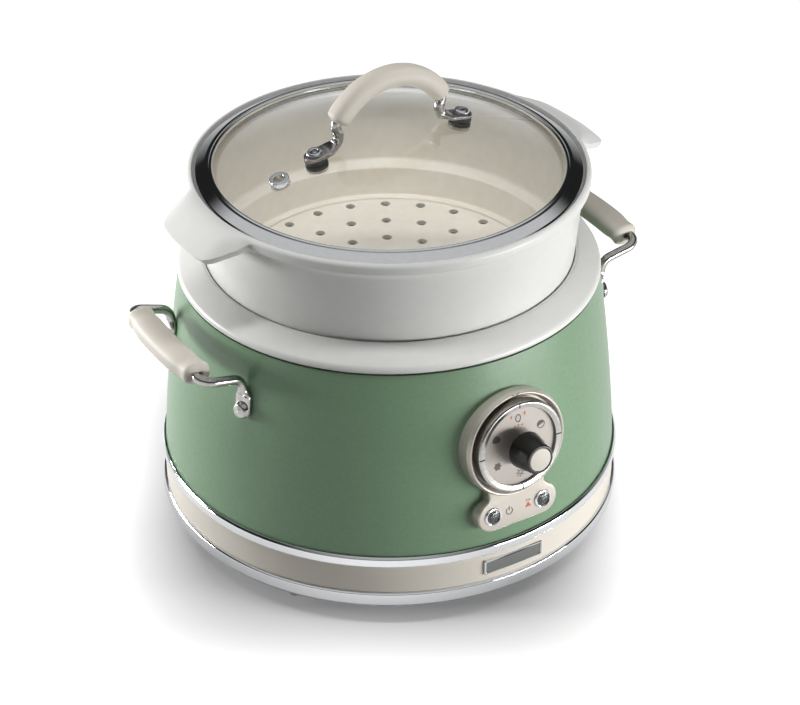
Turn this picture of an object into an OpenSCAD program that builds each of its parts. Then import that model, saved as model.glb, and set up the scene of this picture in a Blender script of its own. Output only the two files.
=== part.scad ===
// Retro multicooker: heated base with a painted shell, removable pot, steamer basket and glass lid.
// Millimetres, +Z up. The origin is the middle of the floor under the feet and the control panel faces -Y.

/* [Base] */
// Gap between the well and the outer face of the base
body_gap = 28.3; // [27:0.1:36]
// How far the trim rings stand proud of the band
ring_proud = 2; // [1:0.25:3]
// Height of the cream band
band_h = 19; // [14:0.5:30]
// Wall of the cream band
band_t = 3.5; // [2.5:0.25:6]
// Height of the lower trim ring
lower_ring_h = 9; // [7:0.5:14]
// Height of the upper trim ring
upper_ring_h = 6.5; // [5:0.5:10]
// Wall of the trim rings
ring_t = 2.2; // [1.5:0.1:3]
// Thickness of the flange that the shell stands on
ring_flange_t = 1.5; // [1:0.25:3]
// Thickness of the bottom plate
plate_t = 2; // [1.5:0.25:4]
// Number of cooling slots in the bottom plate
vent_count = 24; // [12:2:30]
// Length of a cooling slot
vent_len = 24; // [12:1:30]
// Width of a cooling slot
vent_w = 4; // [2:0.5:5]
// Distance of the cooling slots' ends inside the standoffs
vent_inset = 16; // [14:0.5:24]

/* [Feet] */
// Height of the feet
foot_h = 10; // [7:0.5:16]
// Diameter of a foot on the floor
foot_d = 11; // [9:0.5:14]
// Diameter of a foot under the plate
foot_top_d = 15; // [12:0.5:18]
// Distance of the feet's middle inside the outer face of the base
foot_inset = 18; // [17:0.5:24]
// Angle of the feet from the side axis
foot_angle = 32; // [20:1:60]
// Shank diameter of the foot screws and the standoff screws
screw_d = 3.5; // [3:0.1:4]
// Head diameter of those screws
screw_head_d = 6.6; // [6:0.1:7.5]
// Head height of those screws
screw_head_h = 2.2; // [1.6:0.1:3]

/* [Shell] */
// Height of the painted shell
shell_h = 119.5; // [110:0.5:140]
// How far the shell's foot lies inside the band's face
shell_inset = 0.5; // [0.2:0.1:1.5]
// Outward bulge of the shell's side
shell_bulge = 1.5; // [0.5:0.1:4]
// Sheet thickness of the shell
shell_t = 1.2; // [0.8:0.1:2]

/* [Collar] */
// Height of the collar above the shell's edge
collar_h = 13; // [11:0.5:18]
// Wall of the collar
collar_t = 2.3; // [1.8:0.1:3]
// How far the collar's lip hangs over the shell
collar_over = 0.5; // [0.2:0.1:2]
// Depth of the collar's spigot inside the shell
spigot_h = 6; // [3:0.5:10]
// Width of the collar from its inner edge to the shell's top edge
collar_w = 13.7; // [12:0.1:20]
// Height of the collar's inner wall
collar_wall_h = 11.3; // [10:0.1:14]
// Depth of the pot's rim below the collar's top
rim_drop = 6.5; // [5:0.25:9]

/* [Pot] */
// Inside diameter of the pot
pot_d = 204; // [194:1:206]
// Wall of the pot
pot_t = 1.6; // [1:0.1:2]
// Thickness of the pot's floor
pot_floor_t = 2.2; // [1.5:0.1:4]
// Gap between the pot's wall and the well
well_gap = 7.3; // [6.5:0.1:10]
// Width of the pot's rim outside its wall
pot_rim_w = 5.2; // [4:0.1:6]
// Gap between the pot's rim and the collar's mouth
mouth_gap = 2; // [1:0.1:3]
// Thickness of the pot's rim
pot_rim_t = 1.6; // [1:0.1:2]
// Radius between the pot's floor and wall
pot_corner_r = 13; // [8:0.5:14]

/* [Heater] */
// Height of the standoffs under the well
standoff_h = 14; // [12:0.5:18]
// Diameter of the standoffs
standoff_d = 10; // [8:0.5:14]
// Distance of the standoffs' middle inside the well's wall
standoff_inset = 15.9; // [14:0.1:20]
// Sheet thickness of the well
liner_t = 0.8; // [0.6:0.1:1.2]
// Height of the posts under the heating plate
post_h = 6.2; // [5.5:0.1:8]
// Distance of the heating plate's edge inside the pot's wall
hot_inset = 14; // [12.5:0.25:18]
// Thickness of the heating plate
hot_t = 8; // [7:0.5:10]
// Distance of the heating element's ring inside the plate's edge
element_inset = 26; // [22:0.5:32]
// Diameter of the element's tube
element_d = 8; // [6.5:0.5:8.5]
// Diameter of the element's terminals
terminal_d = 5; // [4:0.25:6]
// Angle of the terminals each side of the back
terminal_angle = 15; // [12:1:24]

/* [Thermostat] */
// Diameter of the sensor's cap
sensor_d = 31; // [28:0.5:33]
// Diameter of the sensor's stem
stem_d = 6; // [5:0.25:7]
// Diameter of the sensor's spring
spring_d = 14; // [12:0.5:16]
// Wire diameter of the spring
spring_wire = 1.2; // [0.8:0.1:1.4]
// Turns of the spring
spring_turns = 4.5; // [3:0.5:5]

/* [Controls] */
// Height of the dial's centre above the shell's foot
dial_up = 68.5; // [66:0.5:76]
// Width of the bezel's ring round the dial
bezel_w = 6.2; // [5:0.1:8]
// How far the bezel stands out of the shell
bezel_proud = 8; // [7:0.25:10]
// Distance of the lamps below the bezel's round part
lamp_below = 7.5; // [6:0.25:10]
// Distance between the lamps
lamp_pitch = 34; // [30:0.5:38]
// Radius of the lobe round the lamps
lobe_r = 11; // [10:0.25:12]
// How far the lobe stands out of the shell
lobe_proud = 4.2; // [3.5:0.1:5.5]
// Radius of the waist between lobe and round part
waist_r = 4; // [3:0.25:6]
// Diameter of the dial's chrome ring
dial_d = 56; // [52:0.5:57]
// Width of the dial's chrome ring
dial_ring_w = 4; // [3:0.25:5]
// Depth of the dial's chrome ring
dial_ring_h = 8; // [7:0.25:10]
// How far the dial's face lies below the ring
dial_recess = 2.4; // [1.5:0.1:3]
// Diameter of the knob at the dial
knob_d = 19.6; // [16:0.2:24]
// Diameter of the knob at its end
knob_end_d = 15.8; // [14.6:0.2:16]
// Length of the knob
knob_len = 21; // [18:0.5:26]
// Width of the knob's lip round its cap
knob_lip = 1.1; // [0.8:0.1:2]
// Diameter of the dial's shaft
shaft_d = 6; // [5:0.25:6.5]
// Width of the switch
switch_w = 24; // [20:0.5:26]
// Distance of the circuit board behind the panel
board_back = 12; // [11:0.25:12.5]
// Width of the circuit board
board_w = 50; // [48:1:54]
// Width of the lamp rings' flange
lamp_flange = 0.8; // [0.6:0.1:1.5]
// Diameter of the lamp lenses
lens_d = 8.4; // [7:0.1:8.6]

/* [Badge] */
// Width of the bare plate on the band
badge_w = 40; // [25:1:60]
// Height of the bare plate on the band
badge_h = 10; // [6:0.5:14]
// Thickness of the bare plate
badge_t = 1.6; // [1:0.1:2]

/* [Inlet] */
// Height of the inlet's centre above the shell's foot
inlet_up = 28; // [22:0.5:40]
// Width of the inlet's socket
inlet_w = 24; // [22:0.5:26]
// Height of the inlet's socket
inlet_h = 16.5; // [15:0.5:18]
// Depth of the inlet's socket
inlet_deep = 14; // [12:0.5:15]
// Wall of the inlet
inlet_t = 2.5; // [2:0.25:3]

/* [Side handles] */
// Diameter of the handle rods
rod_d = 5.6; // [5:0.1:7]
// Bend radius of the handle rods
rod_bend = 8; // [6:0.5:9]
// Distance of the grip's middle from the shell
grip_reach = 23.5; // [21:0.25:30]
// Depth of the grip's middle below the shell's top edge
grip_drop = 9.5; // [6:0.5:14]
// Length of the grip
grip_len = 75; // [60:1:84]
// Width of the grip
grip_w = 17; // [14:0.5:18]
// Height of the grip
grip_h = 13.5; // [11:0.5:16]
// Angle of the handle's tabs from the side axis
tab_angle = 19.5; // [17:0.5:22]
// Depth of the tab screws below the shell's top edge
tab_drop = 37; // [32:0.5:42]
// Width of the tabs
tab_w = 10.5; // [9:0.5:13]
// Thickness of the tabs
tab_t = 2.8; // [2:0.1:3.5]
// Length of the tabs above their screws
tab_len = 13; // [11:0.5:16]
// Head diameter of the tab screws
tab_screw_head = 11; // [9:0.5:12]
// Shank diameter of the tab screws
tab_screw_d = 4; // [3:0.1:5]

/* [Steamer] */
// Height of the steamer above the pot's rim
steam_h = 59.5; // [50:0.5:75]
// Depth of the steamer inside the pot
insert_h = 17.5; // [12:0.5:30]
// Gap between the steamer's foot and the collar
steam_gap = 4.6; // [3.5:0.1:6]
// How far the steamer's wall leans out between its foot and its lip
steam_flare = 6.8; // [4:0.1:9]
// How far the lip stands out of the wall
lip_w = 4; // [3:0.1:5]
// Wall of the lip round the lid
lip_wall = 2.8; // [2:0.1:4]
// Height of the lip
lip_h = 6.5; // [5.5:0.25:9]
// Wall of the steamer
steam_t = 2.5; // [1.8:0.1:3]
// Depth of the lid's seat in the lip
seat_deep = 4.5; // [4:0.25:5]
// Length of the wings outside the lip
wing_len = 18; // [14:0.5:24]
// Half the width of a wing at its end
wing_half = 30; // [22:1:36]
// Corner radius of the wings
wing_corner = 9; // [5:0.5:12]
// How far the wings droop
wing_drop = 14; // [8:0.5:18]
// Thickness of the wings
wing_t = 4; // [3:0.25:5]
// Diameter of the steam holes
hole_d = 6; // [4:0.5:8]
// Distance between rings of steam holes
hole_pitch = 21; // [14:0.5:22]

/* [Lid] */
// Width of the lid's rim, seen from above
lid_rim_w = 11.5; // [9:0.25:13]
// Height of the rim's inner edge above its seat
lid_rim_h = 6.8; // [6:0.1:9]
// Thickness of the glass
glass_t = 4; // [3:0.25:5]
// Radius of the glass dome
glass_r = 268; // [250:1:320]
// Height of the glass's edge above the lid's seat
glass_up = 2.15; // [1.8:0.05:3]
// Place of the steam vent on the way from the handle's post to the lid's rim
vent_share = 0.45; // [0.4:0.01:0.55]
// Diameter of the steam vent's eyelet
vent_d = 12; // [10:0.5:14]
// Distance of the handle posts from the lid's middle
lid_post_x = 48.5; // [46:0.5:52]
// Diameter of the handle posts
lid_post_d = 6; // [5:0.25:7]
// Height of the handle posts above the feet
lid_post_h = 5.5; // [3:0.5:8]
// Diameter of the lid handle's rod
lid_rod_d = 6; // [5:0.25:7]
// Width of the rod's flattened feet
lid_foot_w = 12; // [10:0.5:14]
// Thickness of the rod's flattened feet
lid_foot_t = 2.6; // [2:0.1:3.5]
// Radius of the grip's arch, to its middle line
arch_r = 40.3; // [38:0.1:44]
// Height of the arch's top above the glass dome
arch_up = 35.5; // [33:0.5:42]
// Half the angle of the arch
arch_angle = 59; // [52:1:62]
// Width of the lid grip
lid_grip_w = 14; // [12:0.25:18]
// Thickness of the lid grip
lid_grip_h = 12.6; // [11:0.2:15]

/* [Fits] */
// Running clearance of the dial's shaft and the sensor's stem, on the radius
run_fit = 0.05; // [0.02:0.01:0.1]
// Clearance of pieces that are pushed together, on the radius
push_fit = 0.1; // [0.05:0.05:0.2]
// Clearance of sheet-metal pieces that nest
nest_fit = 0.4; // [0.3:0.05:0.6]
// Gap round the pot's rim and the steamer in the collar
drop_in_gap = 0.8; // [0.6:0.05:1.1]

/* [Hidden] */
$fn = 96;
arc_fn = 720;
fine_fn = 240;
round_steps = 6;
joint_lap = 0.3;
joint_step = 0.03;

// Small edge radii
hair = 0.3;
edge = 0.6;
soft = 1.2;

// Heights of the stacked base
z_plate = foot_h;
z_lower_ring = z_plate + plate_t;
z_band = z_lower_ring + lower_ring_h;
z_upper_ring = z_band + band_h;
z_shell = z_upper_ring + ring_flange_t;
z_collar = z_shell + shell_h;
z_collar_top = z_collar + collar_h;
z_well_rim = z_collar_top - collar_wall_h;
z_liner = z_lower_ring + standoff_h;
z_hot_under = z_liner + liner_t + post_h;
z_hot = z_hot_under + hot_t;
z_pot_rim = z_collar_top - rim_drop;
z_steam_floor = z_pot_rim - insert_h;
z_steam_top = z_pot_rim + steam_h;
z_lid = z_steam_top - seat_deep;

// Radii of the pot, the well and the base
pot_in_r = pot_d / 2;
pot_out_r = pot_in_r + pot_t;
pot_rim_r = pot_out_r + pot_rim_w;
liner_r = pot_out_r + well_gap;
collar_in_r = pot_rim_r + mouth_gap;
shell_top_r = collar_in_r + collar_w;
ring_r = liner_r + liner_t + body_gap;
band_r = ring_r - ring_proud;
band_in_r = band_r - band_t;
plate_edge = 3;
plate_r = ring_r - plate_edge;
shell_foot_r = band_r - shell_inset;
foot_circle_r = ring_r - foot_inset;
spigot_r = shell_top_r - shell_t - nest_fit;
spigot_in_r = spigot_r - collar_t;
crest_w = 1.6;
knee_round = 14;
skirt_h = 3.4;
skirt_round = 2;

// The shell's side is an arc through its foot and its top edge
shell_a = [shell_foot_r, z_shell];
shell_b = [shell_top_r, z_collar];
shell_chord = norm(shell_b - shell_a);
shell_arc_r = shell_chord * shell_chord / (8 * shell_bulge) + shell_bulge / 2;
shell_out = [shell_b.y - shell_a.y, shell_a.x - shell_b.x] / shell_chord;
shell_c = (shell_a + shell_b) / 2 - shell_out * (shell_arc_r - shell_bulge);
function shell_r(z) = shell_c.x + sqrt(pow(shell_arc_r, 2) - pow(z - shell_c.y, 2));
function shell_tilt(z) = asin((z - shell_c.y) / shell_arc_r);
shell_steps = 12;
function shell_line(gap) =
    [for (i = [0 : shell_steps]) let (z = z_shell + shell_h * i / shell_steps) [shell_r(z) + gap, z]];

// Controls, in the panel's own frame: z out of the shell, y up
dial_z = z_shell + dial_up;
dial_r = dial_d / 2;
dial_over = 2.6;
dial_front = bezel_proud + dial_over;
dial_back = dial_front - dial_ring_h;
dial_face_z = dial_front - dial_recess;
dial_face_t = 2;
dial_in_r = dial_r - dial_ring_w;
shelf_w = 3;
recess_gap = 0.8;
recess_r = dial_r + recess_gap;
recess_under = 0.6;
recess_floor = dial_back - recess_under;
bezel_r = recess_r + bezel_w;
lamp_drop = bezel_r + lamp_below;
bezel_fit = 0.15;
panel_deep = 14;
bush_wall = 1.5;
bush_r = shaft_d / 2 + bush_wall;
bush_hole_r = bush_r + nest_fit;
switch_gap = 1.4;
switch_front = -(shell_t + switch_gap);
board_t = 1.6;
board_top = 22;
board_margin = 8;
board_bottom = lamp_drop + board_margin;
boss_r = 3.2;
boss_gap = 3.8;
boss_hole_r = boss_r + nest_fit;
boss_x = switch_w / 2 + boss_gap + boss_r;
board_bosses = [[-boss_x, switch_w / 2], [boss_x, switch_w / 2], [0, -lamp_drop]];
board_screw_r = 1.25;
board_screw_head_r = 2.6;
board_screw_head_h = 1.6;
board_screw_len = 7;
lamp_x = lamp_pitch / 2;
lens_r = lens_d / 2;
sleeve_t = 0.7;
sleeve_r = lens_r + push_fit + sleeve_t;
lamp_ring_r = sleeve_r + lamp_flange;
lamp_hole_r = sleeve_r + push_fit;
lamp_stem_r = 2.4;
lamp_stem_hole_r = lamp_stem_r + nest_fit;
knob_cap_d = knob_end_d - 2 * knob_lip;
cap_deep = 1.2;

// The waist circle touches the bezel's round part and the lobe's end, and its cut bites a little into both
waist_bite = 0.15;
lobe_c = [lamp_x, -lamp_drop];
waist_a = bezel_r + waist_r;
waist_b = lobe_r + waist_r;
waist_span = norm(lobe_c);
waist_along = (waist_a * waist_a - waist_b * waist_b + waist_span * waist_span) / (2 * waist_span);
waist_off = sqrt(waist_a * waist_a - waist_along * waist_along);
waist_c = lobe_c / waist_span * waist_along + [-lobe_c.y, lobe_c.x] / waist_span * waist_off;

// Thermostat
sensor_gap = 1.5;
hot_hole_r = sensor_d / 2 + sensor_gap;
sensor_wall = 2;
sensor_h = 6;
stem_below = 7;
sensor_flange_t = 1.5;
sensor_flange_r = 12;
sensor_neck_t = 1.6;
sensor_neck_r = stem_d / 2 + sensor_neck_t;
sensor_neck_up = 1.6;
z_spring = z_liner + liner_t + sensor_flange_t;
z_spring_top = z_hot - sensor_wall;

// Posts under the heating plate, terminals and the fuse
hot_r = pot_in_r - hot_inset;
element_r = hot_r - element_inset;
standoff_r = liner_r - standoff_inset;
vent_r = standoff_r - standoff_d / 2 - vent_inset - vent_len / 2;
hot_post_r = 4;
hot_post_gap = 3;
hot_post_circle = element_r + element_d / 2 + hot_post_r + hot_post_gap;
terminal_down = 4;
terminal_gap = 2;
terminal_hole_r = terminal_d / 2 + terminal_gap;
standoff_bite = 10;
fuse_x = -38;
fuse_y = 12;
fuse_r = 3.2;
fuse_len = 20;
fuse_strap_w = 8;
fuse_lead = 16;

// Side handles
grip_z = z_collar - grip_drop;
grip_out = shell_r(grip_z) + grip_reach;
grip_round = 5.5;
grip_end_round = 5;
rod_r = rod_d / 2;
rod_spare = 1;
rod_corner_y = grip_len / 2 + rod_bend + rod_spare;
tab_z = z_collar - tab_drop;
tab_round = tab_w / 2;
tab_rod = 7;
tab_rod_up = tab_len + tab_rod;
tab_gap = 0.15;
nut_t = 3.2;
nut_wall = 2;
nut_r = tab_screw_d / 2 + nut_wall;
tab_screw_head_h = 3.4;

// Power inlet
inlet_z = z_shell + inlet_up;
inlet_flange = 5;
inlet_flange_t = 2.5;
inlet_round = 3;
inlet_back = inlet_flange_t - inlet_deep - inlet_t;
pin_w = 2;
pin_h = 4;
pin_out = 12;
pin_tail = 2.5;
pin_places = [[-7, -2], [7, -2], [0, 2.5]];

// Steamer
insert_r = pot_in_r - drop_in_gap;
insert_taper = 2.2;
insert_foot_r = insert_r - insert_taper;
steam_foot_r = collar_in_r - steam_gap;
steam_top_r = steam_foot_r + steam_flare;
lip_r = steam_top_r + lip_w;
seat_r = lip_r - lip_wall;
lid_gap = 0.7;
lid_r = seat_r - lid_gap;
z_lip = z_steam_top - lip_h;
lip_under = 2;
lip_fillet = 6;
lip_edge = 2.6;
steam_soft = 3;
wing_r = lip_r + wing_len;
wing_lap = lip_wall - edge;
wing_root_r = lip_r - wing_lap;
wing_sink = 1;
wing_spread = 7;
wing_root_half = wing_half + wing_spread;
wing_blend = 9;
hole_rings = floor((insert_foot_r - steam_t - hole_d) / hole_pitch);

// Lid
glass_inset = 7.5;
glass_edge_r = lid_r - glass_inset;
z_glass = z_lid + glass_up + glass_r - sqrt(glass_r * glass_r - glass_edge_r * glass_edge_r);
rim_in_r = lid_r - lid_rim_w;
vent_out = lerp(lid_post_x, rim_in_r, vent_share);
rim_sheet = 0.9;
rim_grip = 0.15;
function glass_over(r) = z_glass - glass_r + sqrt(glass_r * glass_r - r * r);
function glass_under(r) = z_glass - glass_r + sqrt(pow(glass_r - glass_t, 2) - r * r);
washer_t = 1.6;
washer_w = 3.6;
washer_r = lid_post_d / 2 + washer_w;
post_head_t = 1.8;
post_wall = 1.1;
under_gap = 0.12;
eyelet_t = 1.4;
eyelet_flange = 1.6;
eyelet_wall = 1.4;
eyelet_neck_r = vent_d / 2 - eyelet_flange;
eyelet_hole_r = eyelet_neck_r - eyelet_wall;
arch_z = z_glass + arch_up - arch_r;
arch_end = [arch_r * sin(arch_angle), arch_z + arch_r * cos(arch_angle)];
arch_down = [cos(arch_angle), -sin(arch_angle)];
lid_rod_r = lid_rod_d / 2;
lid_bend = 5;
foot_tilt = asin(lid_post_x / glass_r);
foot_inner = 8;
foot_rod = 14.5;
foot_bend = 22;
foot_leg = 4.6;
foot_spare = 0.6;
foot_tip = lid_foot_w / 2 + foot_spare;
foot_mid_n = washer_t + lid_rod_r + foot_spare / 3;
foot_bend_n = foot_mid_n + foot_spare;

// Leads inside the base
lead_r = 1.3;
lead_bend = 4;
lead_z = (z_lower_ring + z_liner) / 2;
lead_gap = 0.4;
lead_part = 2.5;

// Colours as seen
green = "#9dbb9f";
white = "#e9e9e6";
cream = "#ddd5c8";
champagne = "#dad2c7";
chrome = "#cfd2d4";
silver = "#b9b3ad";
steel = "#a9adb0";
black = "#161616";

// Points and vectors
function unit(v) = v / norm(v);
function flat(p) = [p[0], p[1]];
function lerp(a, b, t) = a + (b - a) * t;
function reverse(list) = [for (i = [len(list) - 1 : -1 : 0]) list[i]];

// One corner of an outline, rounded to radius r between its neighbours a and c
function corner(a, b, c, r) =
    r == 0 ? [b] :
    let (u = unit(a - b), v = unit(c - b))
    let (half = acos(u * v) / 2)
    let (middle = b + unit(u + v) * r / sin(half))
    let (from = b + u * r / tan(half) - middle, to = b + v * r / tan(half) - middle)
    let (start = atan2(from.y, from.x), sweep = atan2(cross(from, to), from * to))
    [for (i = [0 : round_steps]) middle + r * [cos(start + sweep * i / round_steps),
                                              sin(start + sweep * i / round_steps)]];

// Outline from [x, y, radius] points; a point without a radius stays sharp
function rounded(points) =
    let (n = len(points))
    [for (i = [0 : n - 1])
        let (p = points[i])
        each corner(flat(points[(i + n - 1) % n]), flat(p), flat(points[(i + 1) % n]), len(p) > 2 ? p[2] : 0)];

module turned(points) {
    rotate_extrude() polygon(rounded(points));
}

module rounded_rect(w, h, r) {
    square([w - 2 * r, h], center = true);
    square([w, h - 2 * r], center = true);
    for (x = [-1, 1], y = [-1, 1]) translate([x * (w / 2 - r), y * (h / 2 - r)]) circle(r);
}

module slot(len, w) {
    square([len - w, w], center = true);
    for (x = [-1, 1]) translate([x * (len - w) / 2, 0]) circle(w / 2);
}

module tube(r_out, r_in, h) {
    difference() {
        cylinder(r = r_out, h = h);
        translate([0, 0, -1]) cylinder(r = r_in, h = h + 2);
    }
}

// Places children with their x, y and z along three unit vectors
module framed(p, x, y, z) {
    multmatrix([[x[0], y[0], z[0], p[0]], [x[1], y[1], z[1], p[1]], [x[2], y[2], z[2], p[2]]]) children();
}

function side_of(v) = unit(cross(v, abs(v[1]) > 0.9 ? [1, 0, 0] : [0, 1, 0]));
function bend_angle(a, b, c) = acos(unit(b - a) * unit(c - b));
function bend_reach(a, b, c, bend) = bend * tan(bend_angle(a, b, c) / 2);

module straight(a, b, r) {
    v = unit(b - a);
    s = side_of(v);
    framed(a, s, cross(v, s), v) cylinder(r = r, h = norm(b - a));
}

module bent(a, b, c, r, bend) {
    u = unit(b - a);
    w = unit(cross(u, unit(c - b)));
    inward = cross(w, u);
    start = b - u * bend_reach(a, b, c, bend);
    framed(start + inward * bend, -inward, u, w)
        rotate_extrude(angle = bend_angle(a, b, c)) translate([bend, 0]) circle(r - joint_step);
}

// A round rod through points, with a true bend at each inner one. The bends are a hair thinner
// and the straights run a little into them, so that the lengths join in one solid.
module rod(points, r, bend) {
    last = len(points) - 1;
    for (i = [0 : last - 1]) {
        a = points[i];
        b = points[i + 1];
        from = i == 0 ? 0 : bend_reach(points[i - 1], a, b, bend) - joint_lap;
        to = i + 1 == last ? 0 : bend_reach(a, b, points[i + 2], bend) - joint_lap;
        straight(a + unit(b - a) * from, b - unit(b - a) * to, r);
    }
    for (i = [1 : last - 1]) bent(points[i - 1], points[i], points[i + 1], r, bend);
}

// Everything inside the shell's outer surface, grown by gap
module shell_space(gap) {
    rotate_extrude($fn = fine_fn) polygon(concat([[0, z_shell]], shell_line(gap), [[0, z_collar]]));
}

// Frames that stand on the shell: z out, y up
module panel() {
    translate([0, -shell_r(dial_z), dial_z]) rotate([90 - shell_tilt(dial_z), 0, 0]) children();
}

module rear() {
    translate([0, shell_r(inlet_z), inlet_z]) rotate([90 - shell_tilt(inlet_z), 0, 180]) children();
}

// z out of the shell, x down
module tab_frame(side, end) {
    turn = side > 0 ? end * tab_angle : 180 - end * tab_angle;
    rotate([0, 0, turn]) translate([shell_r(tab_z), 0, tab_z]) rotate([0, 90 - shell_tilt(tab_z), 0]) children();
}

module feet_places() {
    for (x = [-1, 1], y = [-1, 1])
        translate([x * foot_circle_r * cos(foot_angle), y * foot_circle_r * sin(foot_angle), 0]) children();
}

module standoff_places() {
    for (a = [30, 150, 270]) rotate([0, 0, a]) translate([standoff_r, 0, 0]) children();
}

module lamp_places() {
    panel() for (x = [-1, 1]) translate([x * lamp_x, -lamp_drop, 0]) children();
}

// z out of the glass at a lid post, x outward
module lid_post_places() {
    for (side = [0, 180]) rotate([0, 0, side]) on_glass(lid_post_x) children();
}

module on_glass(out) {
    tilt = asin(out / glass_r);
    translate([out, 0, glass_over(out)]) rotate([0, tilt, 0]) children();
}

module bottom_plate() {
    color(steel) difference() {
        translate([0, 0, z_plate]) linear_extrude(plate_t) difference() {
            circle(plate_r);
            for (i = [0 : vent_count - 1]) rotate(i * 360 / vent_count) translate([vent_r, 0]) slot(vent_len, vent_w);
        }
        feet_places() cylinder(d = screw_d + 2 * push_fit, h = z_band);
        standoff_places() cylinder(d = screw_d + 2 * push_fit, h = z_band);
    }
}

module feet() {
    color(cream) feet_places() difference() {
        cylinder(d1 = foot_d, d2 = foot_top_d, h = foot_h);
        translate([0, 0, -1]) cylinder(d = screw_d + 2 * push_fit, h = foot_h + 2);
        translate([0, 0, -1]) cylinder(d = screw_head_d + 2 * push_fit, h = foot_h / 2 + 1);
    }
}

module pan_screw(len) {
    translate([0, 0, -screw_head_h]) cylinder(d = screw_head_d, h = screw_head_h);
    cylinder(d = screw_d, h = len);
}

module foot_screws() {
    color(steel) feet_places() translate([0, 0, foot_h / 2]) pan_screw(foot_h / 2 + plate_t + 3);
}

module lower_trim_ring() {
    color(chrome) turned([
        [band_in_r, z_lower_ring], [plate_r, z_lower_ring, 1], [ring_r, z_lower_ring + lower_ring_h * 0.4, 3],
        [ring_r, z_band - 0.8, 1], [ring_r - ring_proud * 0.4, z_band, 0.3], [band_in_r, z_band],
        [band_in_r, z_band - ring_t], [ring_r - ring_t - 0.8, z_band - ring_t],
        [ring_r - ring_t - 0.8, z_lower_ring + lower_ring_h * 0.4], [plate_r - ring_t, z_lower_ring + ring_t],
        [band_in_r, z_lower_ring + ring_t]
    ]);
}

module base_band() {
    color(cream) turned([
        [band_in_r, z_band], [band_r, z_band, 0.4], [band_r, z_upper_ring, 0.4], [band_in_r, z_upper_ring]
    ]);
}

module badge_plate() {
    color(chrome) difference() {
        translate([0, -band_r + band_t / 2, z_band + band_h / 2]) rotate([90, 0, 0])
            linear_extrude(badge_t + band_t / 2) rounded_rect(badge_w, badge_h, soft);
        cylinder(r = band_r + push_fit, h = z_shell, $fn = fine_fn);
    }
}

module upper_trim_ring() {
    wall_in = shell_foot_r + nest_fit / 2;
    wall_out = ring_r - ring_proud * 0.25;
    top = z_upper_ring + upper_ring_h;
    color(chrome) turned([
        [band_in_r, z_upper_ring], [wall_out, z_upper_ring, 0.6], [wall_out, top - 1.6, 1.2],
        [wall_in + 0.5, top, 0.3], [wall_in, top - 0.8], [wall_in, z_shell], [band_in_r, z_shell]
    ]);
}

module outer_shell() {
    color(green) difference() {
        rotate_extrude() polygon(concat(shell_line(0), reverse(shell_line(-shell_t))));
        panel() translate([0, 0, -panel_deep]) {
            cylinder(r = bush_hole_r, h = 2 * panel_deep);
            for (p = board_bosses) translate(p) cylinder(r = boss_hole_r, h = 2 * panel_deep);
        }
        lamp_places() translate([0, 0, -panel_deep]) cylinder(r = lamp_stem_hole_r, h = 2 * panel_deep);
        rear() translate([0, 0, -panel_deep]) linear_extrude(2 * panel_deep)
            rounded_rect(inlet_w + 2 * (inlet_t + nest_fit), inlet_h + 2 * (inlet_t + nest_fit), inlet_round);
        for (side = [-1, 1], end = [-1, 1]) tab_frame(side, end)
            translate([0, 0, -panel_deep]) cylinder(d = tab_screw_d + 2 * push_fit, h = 2 * panel_deep);
    }
}

module top_collar() {
    lip_r_out = shell_top_r + collar_over;
    crest_r = collar_in_r + crest_w;
    knee = [lerp(crest_r, lip_r_out, 0.55), z_collar_top - collar_h * 0.24];
    groove_in = liner_r + collar_t;
    groove_out = spigot_in_r - collar_t;
    roof = collar_t + 1.2;
    color(white) turned([
        [collar_in_r, z_well_rim], [collar_in_r, z_collar_top, edge],
        [crest_r, z_collar_top, soft], [knee.x, knee.y, knee_round], [lip_r_out, z_collar + skirt_h, skirt_round],
        [lip_r_out, z_collar, edge],
        [spigot_r, z_collar], [spigot_r, z_collar - spigot_h], [spigot_in_r, z_collar - spigot_h],
        [spigot_in_r, z_well_rim], [groove_out, z_well_rim], [groove_out, z_well_rim + 1.5],
        [knee.x, knee.y - roof], [groove_in, z_collar_top - roof], [groove_in, z_well_rim]
    ]);
}

module inner_liner() {
    flange_r = spigot_in_r - nest_fit;
    corner_r = 6;
    color(steel) difference() {
        turned([
            [0, z_liner], [liner_r + liner_t, z_liner, corner_r + liner_t], [liner_r + liner_t, z_well_rim - liner_t],
            [flange_r, z_well_rim - liner_t], [flange_r, z_well_rim], [liner_r, z_well_rim],
            [liner_r, z_liner + liner_t, corner_r], [0, z_liner + liner_t]
        ]);
        translate([0, 0, z_plate]) cylinder(r = sensor_neck_r + push_fit, h = z_hot);
        terminal_places() translate([0, 0, z_plate]) cylinder(r = terminal_hole_r, h = z_hot);
        standoff_places() translate([0, 0, z_plate]) cylinder(d = screw_d + 2 * push_fit, h = z_hot);
    }
}

module liner_standoffs() {
    color(steel) standoff_places() translate([0, 0, z_lower_ring])
        tube(standoff_d / 2, screw_d / 2 + push_fit, standoff_h);
}

module standoff_screws() {
    color(steel) standoff_places() translate([0, 0, z_plate]) pan_screw(plate_t + standoff_bite);
}

module terminal_places() {
    for (side = [-1, 1]) rotate([0, 0, 90 + side * terminal_angle]) translate([element_r, 0, 0]) children();
}

module heating_plate() {
    color(steel) difference() {
        turned([
            [hot_hole_r, z_hot_under], [hot_r, z_hot_under, soft], [hot_r, z_hot, soft], [hot_hole_r, z_hot, edge]
        ]);
        translate([0, 0, z_hot_under]) rotate_extrude()
            translate([element_r, 0]) circle(d = element_d + 2 * push_fit);
    }
}

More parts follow.
